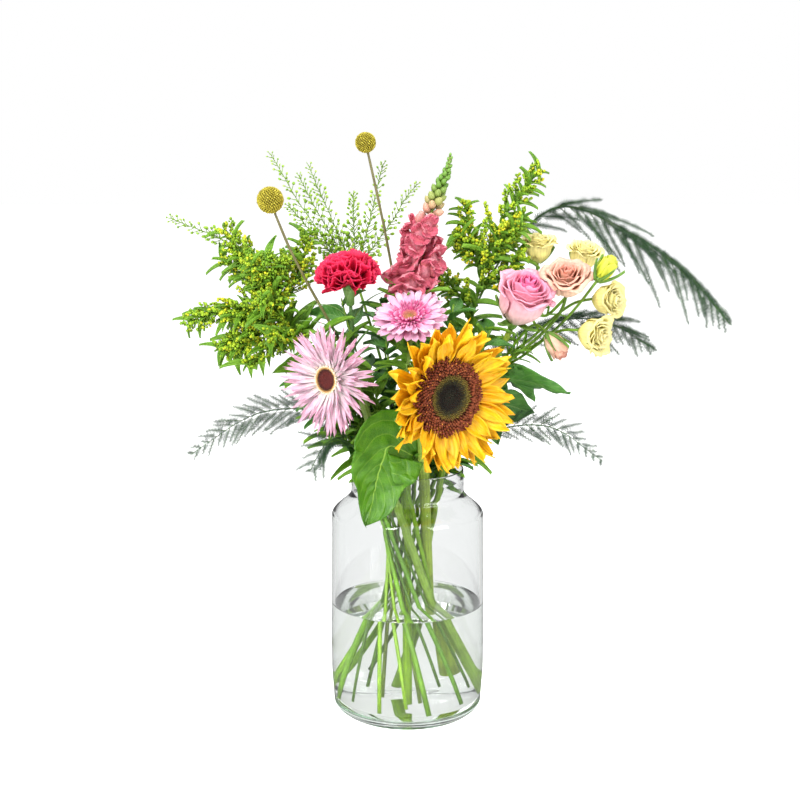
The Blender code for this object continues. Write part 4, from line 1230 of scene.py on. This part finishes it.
def lisianthus():
    flowers = {
        "peach_lisianthus_stem": ("peach_bloom", "peach_bud"),
        "yellow_lisianthus_stem": (
            "yellow_bloom_top", "yellow_bloom_back", "yellow_bloom_right", "yellow_bloom_low", "green_bud"
        )
    }
    skin = stem_finish("lisianthus_skin", tint("7aa80a"), tint("6c9c1a"), flush=tint("7ca83c"), ribs=7)
    rng = random.Random(21)
    for node, blooms in flowers.items():
        line = centreline(node)
        main = smooth([p for p, r in line], 5)
        net = list(main)
        pieces = [tube("main", main, [line[min(i // 5, len(line) - 1)][1] for i in range(len(main))], 12)]
        branches = []
        for bloom in blooms:
            branch = centreline(node, middle_of(bloom))
            branch.reverse()
            if len(branch) > 1:
                branches.append((branch, bloom))
        branches.sort(key=lambda b: min((p - b[0][0][0]).length for p in net))
        for branch, bloom in branches:
            start = min(net, key=lambda p: (p - branch[0][0]).length)
            way = smooth([start, *[p for p, r in branch], head_on(node, bloom).foot], 5)
            pieces.append(tube("branch", way, [max(0.0011, branch[0][1])] * len(way), 10))
            net += way
        settle(joined(node + "_looks", pieces), skin, node)
        small = [petal(
            "blade", 0.030, 0.0095, (6, 10), bulged(0.7, 0.3, 0.7),
            lambda s, v: 0.06 * s * s + 0.2 * v - 0.3 * v * v, wall=0.0004
        )]
        places = []
        for branch, bloom in branches:
            for sign in (1, -1):
                at = branch[0][0]
                way = (branch[1][0] - at).normalized()
                out = way.cross(Vector((0.2, -1, 0.3))).normalized() * sign
                places.append(laid(at, way + out * 0.9, way - out, rng.uniform(0.6, 0.95)))
        strewn(node + "_leaves", small, places, rng, GREENERY)
        for k, bloom in enumerate(blooms):
            head = head_on(node, bloom)
            low, high, wide = extent(bloom, head)
            base = stance(head.foot + head.axis * low, head.axis)
            tall = high - low
            peach, name, seed = bloom[0] == "p", bloom + "_petals", 30 + k
            if "bloom" in bloom:
                radius = (0.80 if peach else 0.90) * wide
                piece = wound(
                    name, base, radius, 1.02 * tall, count=19, spread=0.42, seed=seed, lean=0.34, heart=0.08
                )
                settle(piece, PEACH if peach else CREAM, bloom)
            else:
                piece = wound(
                    name, base, 0.78 * wide, 0.86 * tall, count=9, spread=0.0, seed=seed, lean=0.0, heart=0.55
                )
                settle(piece, PEACH if peach else GREEN_BUD, bloom)
            ring = [petal(
                "sepal", 0.75 * tall, 0.0042, (4, 8), bulged(0.8, 0.2, 0.6),
                lambda s, v: 0.1 * s * s - 0.1 * v + 0.3 * v * v, wall=0.0004
            )]
            places = whorl(base, rng, 5, 0.0035, 50, -0.001, k, (0.2, 10, 10))
            cup_profile = [(0, -0.001), (0.0018, -0.001), (0.0042, 0.002), (0.0046, 0.005), (0, 0.006)]
            cup = toned(turned("cup", cup_profile, 14, base), 0.5)
            sepals = planted("sepals", ring, places, [rng.random() for p in places])
            settle(joined(bloom + "_calyx", [cup, sepals]), BRACT)


# ================================================================ craspedia, goldenrod, pennycress
def craspedia(size, knobs, seed):
    rng = random.Random(seed)
    ball, stalk = size + "_craspedia_ball", size + "_craspedia_stem"
    centre = middle_of(ball)
    radius = 0.48 * (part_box(ball)[1].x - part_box(ball)[0].x)
    steps = 24
    turns = [math.pi * i / steps for i in range(steps + 1)]
    profile = [(0.86 * radius * math.sin(t), -0.86 * radius * math.cos(t)) for t in turns]
    profile[0], profile[-1] = (0, profile[0][1]), (0, profile[-1][1])
    core = toned(turned("core", profile, 32, Matrix.Translation(centre)), 0.0)
    places = []
    for i in range(knobs):
        z = 1 - 2 * (i + 0.5) / knobs
        turn = i * GOLDEN_TURN
        out = Vector((math.sqrt(1 - z * z) * math.cos(turn), math.sqrt(1 - z * z) * math.sin(turn), z))
        place = stance(centre + out * (0.80 * radius), out) @ swung(rng.uniform(0, 6), "Z")
        places.append(place @ sized(rng.uniform(0.9, 1.1) * radius))
    knob = turned(
        "knob", [(0, 0), (0.060, 0.06), (0.080, 0.13), (0.066, 0.19), (0.030, 0.22), (0, 0.20)], 7, Matrix()
    )
    tufts = planted("knobs", [knob], places, [rng.uniform(0.2, 1) for p in places])
    settle(joined(size + "_craspedia_florets", [core, tufts]), MUSTARD, ball)
    skin = stem_finish(
        size + "_craspedia_skin", tint("68802c"), tint("7a7a42"), flush=tint("746c4a"), ribs=6, roughness=0.6
    )
    stem(size + "_craspedia_stalk", stalk, skin, bumps=0.05, seed=seed, sides=10, tip=centre)


def lance(name, length, width):
    """A narrow leaf that arches over."""
    return petal(
        name, length, width, (6, 14), bulged(0.35, 0.42, 0.8),
        lambda s, v: 0.22 * s * s * width / length * 2 + 0.18 * v - 0.42 * v * v, wall=0.0003
    )


def foliage(name, path, rng, low, high, count, blades, finish, rise=0.7):
    """Leaves set round a stem between two shares of its length, each on its own side and at its own slant."""
    places = []
    for i in range(count):
        at, way = at_share(path, low + (high - low) * (i + rng.uniform(-0.3, 0.3)) / count)
        turn = i * GOLDEN_TURN + rng.uniform(-0.7, 0.7)
        out = outward(at, way, turn, rise + rng.uniform(-0.4, 0.3))
        face = way + Vector((rng.uniform(-0.5, 0.5), rng.uniform(-0.9, 0.1), 0.3))
        places.append(laid(at, out, face, rng.uniform(0.6, 1.1)))
    return strewn(name, blades, places, rng, finish)


def sprig(spine, rng, twig_count, twig_length, buds_each, leafy=0.5, bare=0.18):
    """A spray: twigs round a spine, places for the buds past each twig's bare part, and small leaves."""
    spine = smooth(spine, 5)
    runs, buds, leaves = [spine], [], []
    for i in range(twig_count):
        share = 0.10 + 0.90 * i / (twig_count - 1)
        at, way = at_share(spine, share)
        turn = i * GOLDEN_TURN + rng.uniform(-0.3, 0.3)
        out = outward(at, way, turn, 0.9).normalized()
        length = twig_length * (1.05 - 0.70 * share) * rng.uniform(0.7, 1.2)
        end = at + out * length + UP * length * 0.15
        end.y = min(end.y, BACK_LIMIT)
        run = sweep(at, out, end, (way + UP * 0.1 + out * 0.8), 7)
        runs.append(run)
        count = max(5, round(buds_each * (1.1 - 0.5 * share)))
        for k in range(count):
            place, ahead = at_share(run, bare + (1 - bare) * k / (count - 1))
            side = Vector((rng.uniform(-1, 1), rng.uniform(-1, 1), rng.uniform(-0.2, 1.3))).normalized()
            way_up = (side + ahead * 0.6).normalized()
            buds.append(stance(place + side * 0.0011, way_up) @ sized(rng.uniform(0.7, 1.2)))
        if rng.random() < leafy:
            leaves.append(laid(
                at, out - UP * 0.15, UP + way * 0.3 - Vector((0, 0.5, 0)), rng.uniform(0.5, 1.0)
            ))
    return runs, buds, leaves


def goldenrod():
    rng = random.Random(33)
    skin = stem_finish("goldenrod_skin", tint("6c9c08"), tint("5e9018"), flush=tint("70962e"), ribs=8)
    sides = {
        "left": (
            ("top", 30, 0.030, 26), ("side", 30, 0.027, 26), ("inner", 26, 0.026, 24), ("low", 24, 0.025, 24)
        ),
        "right": (("top", 28, 0.026, 22), ("inner", 18, 0.020, 20), ("outer", 20, 0.022, 20))
    }
    for hand, sprays in sides.items():
        stalk = f"goldenrod_{hand}_stem"
        path = stem(stalk + "_stalk", stalk, skin, bumps=0.03, seed=7, sides=10)[1]
        grown = []
        for name, twig_count, twig_length, buds_each in sprays:
            node = f"goldenrod_{hand}_{name}"
            lift = 0.014 if name == "low" else 0.0
            spine = [p + UP * (lift * i / 5) for i, p in enumerate(spine_of(node, 6))]
            grown.append((node, spine, twig_count, twig_length, buds_each))
        # Between the main sprays, shorter ones fan out of the upper stem.
        fan = (
            (-1.0, -0.15, 0.30, 0.78, 0.070), (-0.45, -0.35, 0.75, 0.90, 0.062),
            (-0.75, 0.20, 0.62, 0.94, 0.072), (-0.15, -0.40, 0.9, 0.96, 0.055), (0.15, -0.1, 0.95, 0.99, 0.050),
            (-0.95, -0.30, 0.05, 0.86, 0.060), (-0.3, -0.5, 0.3, 0.86, 0.045), (-0.6, 0.0, 0.9, 0.99, 0.060),
            (-0.85, -0.25, -0.22, 0.82, 0.074), (-0.55, -0.40, -0.30, 0.78, 0.062),
            (-0.4, -0.45, 0.15, 0.72, 0.050)
        )
        if hand == "right":
            fan = (
                (-0.8, -0.2, 0.85, 0.72, 0.060), (0.8, -0.2, 0.70, 0.78, 0.060), (0.7, -0.3, 0.9, 0.90, 0.055),
                (-0.6, -0.4, 1.0, 0.86, 0.050)
            )
        for k, (x, y, z, share, reach) in enumerate(fan):
            at = at_share(path, share)[0]
            out = Vector((x, y, z)).normalized()
            spine = [at, at + out * (0.5 * reach) + UP * 0.004, at + out * reach]
            grown.append((f"goldenrod_{hand}_extra_{k}", spine, 20, 0.023, 22))
        for node, spine, twig_count, twig_length, buds_each in grown:
            runs, buds, leaves = sprig(
                spine, rng, twig_count, twig_length, buds_each,
                *((0.85, 0.24) if hand == "left" else (1.0, 0.50))
            )
            patch = rng.uniform(0, 9)
            yellow = 0.52 if hand == "right" else 0.42
            clumps = [0.5 * noise.noise(b.translation * 55 + Vector((patch, 0, 0))) for b in buds]
            tones = [min(1, max(0, rng.gauss(yellow, 0.16) + clump)) for clump in clumps]
            grains = planted(
                node + "_buds", [bud("bud", 0.00150, 0.0036, sides=5, rings=3, fullness=0.8)], buds, tones
            )
            settle(grains, GOLD_BUD, *([node] if node in ALL_SLOTS else []))
            settle(twigs(node + "_twigs", runs, 0.0007, 5), TWIG)
            blades = [lance("leaf", 0.030, 0.0084), lance("leaf", 0.023, 0.0068)]
            strewn(node + "_leaves", blades, leaves, rng, GREENERY)
        blades = [lance("leaf", 0.046, 0.0120), lance("leaf", 0.036, 0.0096), lance("leaf", 0.030, 0.0100)]
        foliage(
            stalk + "_leaves", path, rng, low=0.52, high=0.99, count=46 if hand == "left" else 30,
            blades=blades, finish=GREENERY
        )
    spine = spine_of("goldenrod_left_leaf", 5)
    face = facing_of("goldenrod_left_leaf", Vector((0, -1, 1)))
    piece = bent_leaf(
        "goldenrod_low_leaf", spine, face, 0.017, pointed, cells=(8, 20), hollow=0.1, ripple=0.05, seed=3
    )
    settle(toned(piece, 0.6), GREENERY, "goldenrod_left_leaf")


def pennycress():
    rng = random.Random(41)
    skin = stem_finish("pennycress_skin", tint("8ab616"), tint("7aa82e"), flush=tint("90b842"), ribs=6)
    spines = {
        "pennycress_" + name: spine_of("pennycress_" + name, 6) for name in (
            "back_inner", "back_middle", "back_outer", "left_spray"
        )
    }
    low, middle, outer = (spines["pennycress_back_" + name] for name in ("inner", "middle", "outer"))
    foot = middle[0]
    spines["pennycress_between"] = [foot.lerp(p, 0.86) for p in (a.lerp(b, 0.5) for a, b in zip(middle, outer))]
    spines["pennycress_short"] = [
        foot + (p - foot) * 0.55 + Vector((-0.020 * i / 5, 0, 0)) for i, p in enumerate(outer)
    ]
    spines["pennycress_low"] = [foot.lerp(p, 0.72) for p in (a.lerp(b, 0.4) for a, b in zip(low, middle))]
    spines["pennycress_right"] = [p + Vector((0.034 * i / 5, 0, -0.020 * i / 5)) for i, p in enumerate(low)]
    for node, knots in spines.items():
        spine = smooth(knots, 6)
        runs, pods = [spine], []
        count = 60
        for i in range(count):
            share = 0.03 + 0.96 * i / (count - 1)
            at, way = at_share(spine, share)
            turn = i * GOLDEN_TURN
            out = outward(at, way, turn, 0.9).normalized()
            length = (0.0115 - 0.0080 * share) * rng.uniform(0.75, 1.25)
            end = at + out * length
            runs.append([at, at.lerp(end, 0.5) - UP * 0.0004, end])
            size = (0.92 - 0.50 * share**1.5) * rng.uniform(0.8, 1.1)
            pods.append(laid(end, out, Vector((rng.uniform(-1, 1), -1, rng.uniform(-1, 1))), size))

        def rim(v):
            return math.sin(math.pi * (0.06 + 0.90 * min(1, v))) ** 0.6

        flat = petal(
            "pod", 0.0050, 0.0044, (4, 5), rim, lambda s, v: 0.12 * (1 - s * s) * math.sin(math.pi * v),
            edge=lambda s, v: -0.16 * (1 - abs(s)) * v**6, wall=0.0007
        )
        strewn(node + "_pods", [flat], pods, rng, POD, *([node] if node in ALL_SLOTS else []))
        settle(twigs(node + "_twigs", runs, 0.00055, 5), TWIG)
    for node in ("pennycress_back_stem", "pennycress_left_stem"):
        stem(node + "_stalk", node, skin, bumps=0.03, seed=8, sides=10)


# ================================================================ the asparagus fern
def fern(node, seed, spacing, reach, hang):
    """Tufts of short needles along the side shoots of an arching stem. Hang is how much the shoots droop."""
    rng = random.Random(seed)
    line = centreline(node)
    path = smooth([p for p, r in line], 6)
    bare = max(i for i in range(len(line) // 2) if line[i][1] < 0.0013)
    total = len(path) - 1
    first = bare * 6 / total
    radii = [max(0.0004, 0.0014 * (1 - 0.85 * i / total)) for i in range(total + 1)]
    settle(tube(node + "_shoot", path, radii, 8), FERN_TWIG)
    leafy = path[int(first * total):]
    length = sum((b - a).length for a, b in zip(leafy, leafy[1:]))
    count = int(length / spacing)
    needle = [turned("needle", [(0, 0), (0.00042, 0.0020), (0, 0.0066)], 3, swung(math.radians(-90), "X"))]
    angles = (-68, -40, -14, 14, 40, 68)
    tuft = planted(
        "tuft", needle, [swung(math.radians(a), "Z") @ sized(1 - abs(a) / 170) for a in angles], [0] * 6
    )
    runs, places, tones = [], [], []
    for i in range(count):
        share = (i + 0.5) / count
        at, way = at_share(leafy, share)
        side = 1 if i % 2 else -1
        across = way.cross(Vector((0, -1, 0.25))).normalized() * side
        long = reach * math.sin(math.pi * (0.08 + 0.88 * share ** 0.75)) * rng.uniform(0.6, 1.15)
        spread = (0.8 - 0.5 * hang) * (0.4 if across.z > 0 and hang > 0.2 else 1)
        out = (
            way + across * spread - UP * hang * rng.uniform(0.0, 0.8) + Vector((0, rng.uniform(-0.4, 0.2), 0))
        ).normalized()
        end = at + out * long - UP * (hang * long * rng.uniform(0.0, 0.5))
        end.y = min(end.y, BACK_LIMIT)
        run = sweep(at, out, end, out - UP * (0.7 * hang), 8, 0.9)
        runs.append(run)
        spots = max(5, int(long / 0.0015))
        face = Vector((rng.uniform(-0.3, 0.3), -1, 0.35)).normalized()
        for k in range(spots):
            place, ahead = at_share(run, 0.14 + 0.86 * k / (spots - 1))
            fan = ahead if k == spots - 1 else ahead * 0.6 + ahead.cross(face).normalized() * (
                1 if k % 2 else -1
            )
            size = (1.15 - 0.55 * k / spots) * rng.uniform(0.7, 1.2)
            places.append(laid(place, fan, face, size))
            tones.append(min(1, max(0, rng.gauss(0.35, 0.25))))
    settle(planted(node + "_needles", [tuft], places, tones), NEEDLE, node)
    settle(twigs(node + "_side_shoots", runs, 0.00040, 4), FERN_TWIG)


# ================================================================ the leaves in the heart of the bouquet
def filler():
    """Leafy shoots between and behind the flowers, narrow-leaved and broad-leaved in turn."""
    rng = random.Random(71)
    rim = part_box("vase")[1].z
    between = (
        ("spider_gerbera_rays", "carnation_petals", 0.25, 0.045, 0.000),
        ("spider_gerbera_rays", "carnation_petals", 0.60, 0.050, 0.010),
        ("spider_gerbera_rays", "goldenrod_left_inner", 0.40, 0.030, 0.000),
        ("spider_gerbera_rays", "goldenrod_left_low", 0.45, 0.025, -0.010),
        ("spider_gerbera_rays", "sunflower_disc", 0.35, 0.050, 0.010),
        ("pink_gerbera_rays", "carnation_petals", 0.45, 0.045, -0.010),
        ("pink_gerbera_rays", "sunflower_disc", 0.25, 0.050, 0.000),
        ("pink_gerbera_rays", "rose_bloom", 0.40, 0.040, -0.005),
        ("pink_gerbera_rays", "rose_bloom", 0.70, 0.045, -0.030),
        ("sunflower_disc", "rose_bloom", 0.60, 0.045, 0.000),
        ("sunflower_disc", "rose_leaf_lower", 0.85, 0.030, 0.010),
        ("sunflower_disc", "rose_leaf_upper", 0.70, 0.030, 0.020),
        ("spider_gerbera_rays", "sunflower_disc", 0.15, 0.050, -0.020),
        ("carnation_petals", "snapdragon_florets", 0.45, 0.040, -0.040),
        ("spider_gerbera_rays", "fern_left", 0.35, 0.040, 0.020)
    )
    shoots = []
    for one, other, share, back, lift in between:
        tip = middle_of(one).lerp(middle_of(other), share) + Vector((0, back, lift))
        tip.y = min(tip.y, BACK_LIMIT)
        foot = Vector((0.12 * tip.x, 0.012, rim - 0.055))
        shoots.append(sweep(foot, UP + Vector((0.5 * tip.x, 0, 0)), tip, tip - foot + UP * 0.05, 14, 0.9))
    skin = TWIG
    settle(twigs("filler_shoots", shoots, 0.0015, 8), skin)
    slim = [lance("leaf", 0.044, 0.0085), lance("leaf", 0.034, 0.0070), lance("leaf", 0.050, 0.0100)]
    broad = [
        petal(
            "leaf", 0.046 - 0.006 * k, 0.0205 - 0.002 * k, (8, 12), bulged(0.25, 0.42, 0.9),
            lambda s, v, k=k: 0.10 * s * s + 0.22 * v - (0.40 + 0.08 * k) * v * v + 0.02 * math.sin(9 * v) * s,
            wall=0.0004
        ) for k in range(3)
    ]
    for k, (leaves, finish) in enumerate(((slim, GREENERY), (broad, DARK_LEAF))):
        places = []
        for path in shoots[k::2] if k == 0 else shoots[1::2]:
            for i in range(26 if k == 0 else 17):
                at, way = at_share(path, 0.22 + 0.78 * (i + rng.uniform(-0.3, 0.3)) / (26 if k == 0 else 17))
                turn = i * GOLDEN_TURN + rng.uniform(-0.6, 0.6)
                out = outward(at, way, turn, 0.7 + rng.uniform(-0.4, 0.4))
                face = way + Vector((rng.uniform(-0.5, 0.5), rng.uniform(-0.9, 0.0), 0.4))
                places.append(laid(at, out, face, rng.uniform(0.6, 1.1)))
        places = [p for p in places if p.translation.y < BACK_LIMIT - 0.004]
        strewn(("filler_slim_leaves", "filler_broad_leaves")[k], leaves, places, rng, finish)


# ================================================================ the vase and its water
def glass_finish(name, tint, ior, body=None):
    """Clear glass or water that lets lamp light through to what stands in it."""
    f = Finish(name)
    f.shader.inputs["Base Color"].default_value = tint
    f.shader.inputs["Roughness"].default_value = 0.0
    f.shader.inputs["IOR"].default_value = ior
    f.shader.inputs["Transmission Weight"].default_value = 1.0
    light = f.add("ShaderNodeLightPath").outputs["Is Shadow Ray"]
    through = f.add("ShaderNodeBsdfTransparent", {"Color": WHITE})
    both = f.add("ShaderNodeMixShader", {0: light, 1: f.shader.outputs[0], 2: through.outputs[0]})
    f.put(f.output.inputs["Surface"], both.outputs[0])
    if body:
        within = f.add("ShaderNodeVolumeAbsorption", {"Color": body[0], "Density": body[1]})
        f.put(f.output.inputs["Volume"], within.outputs[0])
    return f.material


def spun(name, outline):
    """A round body spun from half its outline, a closed run of (radius, height)."""
    bpy.ops.object.select_all(action="DESELECT")
    bpy.ops.mesh.primitive_plane_add(size=0.01)
    piece = bpy.context.object
    piece.name = piece.data.name = name
    bpy.ops.object.mode_set(mode="EDIT")
    bpy.ops.mesh.select_all(action="SELECT")
    bpy.ops.mesh.delete(type="VERT")
    work = bmesh.from_edit_mesh(piece.data)
    points = [work.verts.new((r, 0, z)) for r, z in outline]
    for a, b in zip(points, points[1:]):
        work.edges.new((a, b))
    bmesh.update_edit_mesh(piece.data)
    bpy.ops.mesh.select_all(action="SELECT")
    bpy.ops.mesh.spin(steps=96, angle=FULL_TURN, center=(0, 0, 0), axis=(0, 0, 1))
    bpy.ops.mesh.select_all(action="SELECT")
    bpy.ops.mesh.remove_doubles(threshold=1e-6)
    bpy.ops.mesh.normals_make_consistent(inside=False)
    bpy.ops.object.mode_set(mode="OBJECT")
    bpy.ops.object.shade_smooth()
    return piece


def profile_of(node):
    """The half outline of a turned solid, ring by ring from its lowest pole: (radius, height) points."""
    work = welded(node)
    ring = [min(work.verts, key=lambda v: (round(v.co.z, 4), math.hypot(v.co.x, v.co.y)))]
    seen, outline = set(ring), []
    while ring:
        count = len(ring)
        outline.append(Vector((
            sum(math.hypot(v.co.x, v.co.y) for v in ring) / count, sum(v.co.z for v in ring) / count
        )))
        ring = next_ring(ring, seen)
    work.free()
    return outline


def eased(outline):
    """An outline with its corners cut, but not its long straight runs, which are held near both ends."""
    hold, rounds = 0.0015, 2
    points = []
    for a, b in zip(outline, outline[1:]):
        points.append(a)
        if (b - a).length > 6 * hold:
            points += [a + (b - a).normalized() * hold, b - (b - a).normalized() * hold]
    points.append(outline[-1])
    for turn in range(rounds):
        cut = [points[0]]
        for a, b in zip(points, points[1:]):
            cut += [a.lerp(b, 0.25), a.lerp(b, 0.75)]
        points = [*cut, points[-1]]
    return points


def shouldered(outline):
    """The vase's outline with a smooth shoulder, round above the body and hollow below the neck."""
    rim = max(range(len(outline)), key=lambda i: outline[i].y)

    def wall(points, shift):
        widest = max(p.x for p in points)
        body = max((p for p in points if p.x > 0.95 * widest), key=lambda p: p.y)
        neck = next(p for p in points if p.y > body.y and p.x < 1.03 * points[-1].x)
        rise = 0.85 * (neck.y - body.y)
        curve = []
        for i in range(1, 17):
            t = i / 16
            x = min(max((t - 0.28) / 0.67, 0), 1)
            share = 1 - x * x * (3 - 2 * x)
            curve.append(Vector((neck.x + (body.x - neck.x) * share, body.y + rise * t + shift)))
        return [p for p in points if p.y <= body.y] + curve + [p for p in points if p.y > curve[-1].y + 0.003]

    return [*wall(outline[:rim], 0.0), outline[rim], *wall(outline[rim + 1 :][::-1], -0.0012)[::-1]]


def vase_and_water():
    outline = profile_of("vase")
    glass = spun("vase_glass", eased(shouldered(outline)))
    settle(
        glass, glass_finish("vase_clear_glass", (0.978, 0.979, 0.984, 1), 1.46, ((0.62, 0.84, 0.68, 1), 11)),
        "vase"
    )
    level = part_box("water")[1].z
    rim = max(range(len(outline)), key=lambda i: outline[i].y)
    inside = [p for p in reversed(outline[rim:]) if p.y < level - 0.004]
    overlap = 0.0003
    wet = [Vector((0, inside[0].y - overlap))]
    wet += [Vector((p.x + overlap, p.y - (overlap if p.y < inside[0].y + 0.001 else 0))) for p in inside[1:]]
    wall = wet[-1].x
    wet += [
        Vector((wall, level + 0.0012)), Vector((wall - 0.0010, level + 0.0005)), Vector((wall - 0.0030, level)),
        Vector((0, level))
    ]
    body = spun("vase_water", eased(wet))
    settle(
        body, glass_finish("clear_water", (0.978, 0.986, 0.972, 1), 1.333, ((0.55, 0.80, 0.60, 1), 0.5)),
        "water"
    )


# ================================================================ the studio
def grey_ramp(nodes, links, value, greys):
    """A run of greys for the studio's walls."""
    ramp = nodes.new("ShaderNodeValToRGB")
    elements = ramp.color_ramp.elements
    elements.new(0.5)
    for element, (place, grey) in zip(elements, greys):
        element.position, element.color = place, (grey, grey, grey, 1)
    links.new(value, ramp.inputs[0])
    return ramp.outputs[0]


def studio():
    bpy.ops.object.select_all(action="DESELECT")
    bpy.ops.mesh.primitive_plane_add(size=30)
    floor = bpy.context.object
    floor.name = "studio_floor"
    f = Finish("studio_floor_white")
    cloud = f.noise(3, 3)
    f.close(f.mix("MIX", cloud, tint("fcfcfc"), tint("ffffff")), 0.8, f.noise(300, 2), 0.0001)
    f.put(f.shader.inputs["Emission Color"], WHITE)
    f.put(f.shader.inputs["Emission Strength"], 0.25)
    # Through clear glass the floor fades to grey at both sides, and it stays dim in a reflection.
    place = f.add("ShaderNodeSeparateXYZ", {0: f.add("ShaderNodeTexCoord").outputs["Object"]}).outputs[0]
    faded = f.ramp(
        f.spread(f.math("ABSOLUTE", place), 0.25, 2.0),
        [(0, (1, 1, 1, 1)), (0.5, (0.84, 0.84, 0.86, 1)), (1, (0.58, 0.58, 0.60, 1))]
    )
    path = f.add("ShaderNodeLightPath").outputs
    through = f.add("ShaderNodeEmission", {"Color": faded, "Strength": 1.0}).outputs[0]
    dim = f.add("ShaderNodeEmission", {"Color": (0.26, 0.26, 0.26, 1), "Strength": 1.0}).outputs[0]
    surface = f.add(
        "ShaderNodeMixShader", {0: path["Is Glossy Ray"], 1: f.shader.outputs[0], 2: dim}
    ).outputs[0]
    surface = f.add("ShaderNodeMixShader", {0: path["Is Transmission Ray"], 1: surface, 2: through}).outputs[0]
    f.put(f.output.inputs["Surface"], surface)
    floor.data.materials.append(f.material)

    world = bpy.data.worlds.new("studio")
    bpy.context.scene.world = world
    world.use_nodes = True
    nodes, links = world.node_tree.nodes, world.node_tree.links
    background = nodes["Background"]
    split = nodes.new("ShaderNodeSeparateXYZ")
    links.new(nodes.new("ShaderNodeTexCoord").outputs["Generated"], split.inputs[0])
    sideways = nodes.new("ShaderNodeMath")
    sideways.operation = "ABSOLUTE"
    links.new(split.outputs[0], sideways.inputs[0])
    through = grey_ramp(nodes, links, sideways.outputs[0], ((0.30, 0.98), (0.75, 0.78), (1.0, 0.52)))
    bounced = grey_ramp(nodes, links, split.outputs[2], ((0.0, 0.30), (0.5, 0.40), (1.0, 0.60)))
    path = nodes.new("ShaderNodeLightPath").outputs
    colour = (1, 1, 1, 1)
    for kind, other in (("Is Glossy Ray", bounced), ("Is Transmission Ray", through)):
        mixed = nodes.new("ShaderNodeMix")
        mixed.data_type = "RGBA"
        links.new(path[kind], mixed.inputs[0])
        if isinstance(colour, tuple):
            mixed.inputs[6].default_value = colour
        else:
            links.new(colour, mixed.inputs[6])
        links.new(other, mixed.inputs[7])
        colour = mixed.outputs[2]
    links.new(colour, background.inputs["Color"])
    background.inputs["Strength"].default_value = 1.0

    aim = Vector((0, 0, 0.30))
    lamps = (
        ("key_softbox", Vector((-0.95, -1.5, 1.55)), 0.9, 58),
        ("fill_softbox", Vector((1.35, -1.15, 0.95)), 1.0, 20),
        ("top_softbox", Vector((0.1, 0.5, 1.9)), 1.2, 30),
    )
    for name, place, size, power in lamps:
        lamp = bpy.data.lights.new(name, "AREA")
        lamp.shape, lamp.size, lamp.energy = "SQUARE", size, power
        holder = bpy.data.objects.new(name, lamp)
        bpy.context.scene.collection.objects.link(holder)
        holder.location = place
        holder.rotation_euler = (place - aim).to_track_quat("Z", "Y").to_euler()

    camera = bpy.data.objects.new("camera", bpy.data.cameras.new("camera"))
    bpy.context.scene.collection.objects.link(camera)
    downward = 9.8
    camera.location = (-0.0075, -1.36, 0.552)
    camera.rotation_euler = (math.radians(90 - downward), 0, 0)
    camera.data.lens, camera.data.sensor_width = 63.3, 36
    bpy.context.scene.camera = camera
    bpy.context.scene.view_settings.view_transform = "Standard"


# ================================================================ the whole bouquet
studio()
vase_and_water()
sunflower()
sunflower_leaf()
spider_gerbera()
pink_gerbera()
carnation()
snapdragon()
rose()
lisianthus()
craspedia("large", 400, 51)
craspedia("small", 340, 52)
goldenrod()
pennycress()
filler()
fern("fern_arch", 61, 0.0058, 0.068, 0.55)
fern("fern_droop", 62, 0.0056, 0.050, 0.3)
fern("fern_low_right", 63, 0.0046, 0.028, 0.1)
fern("fern_left", 64, 0.0042, 0.036, 0.15)
fern("fern_front", 65, 0.0046, 0.036, 0.1)
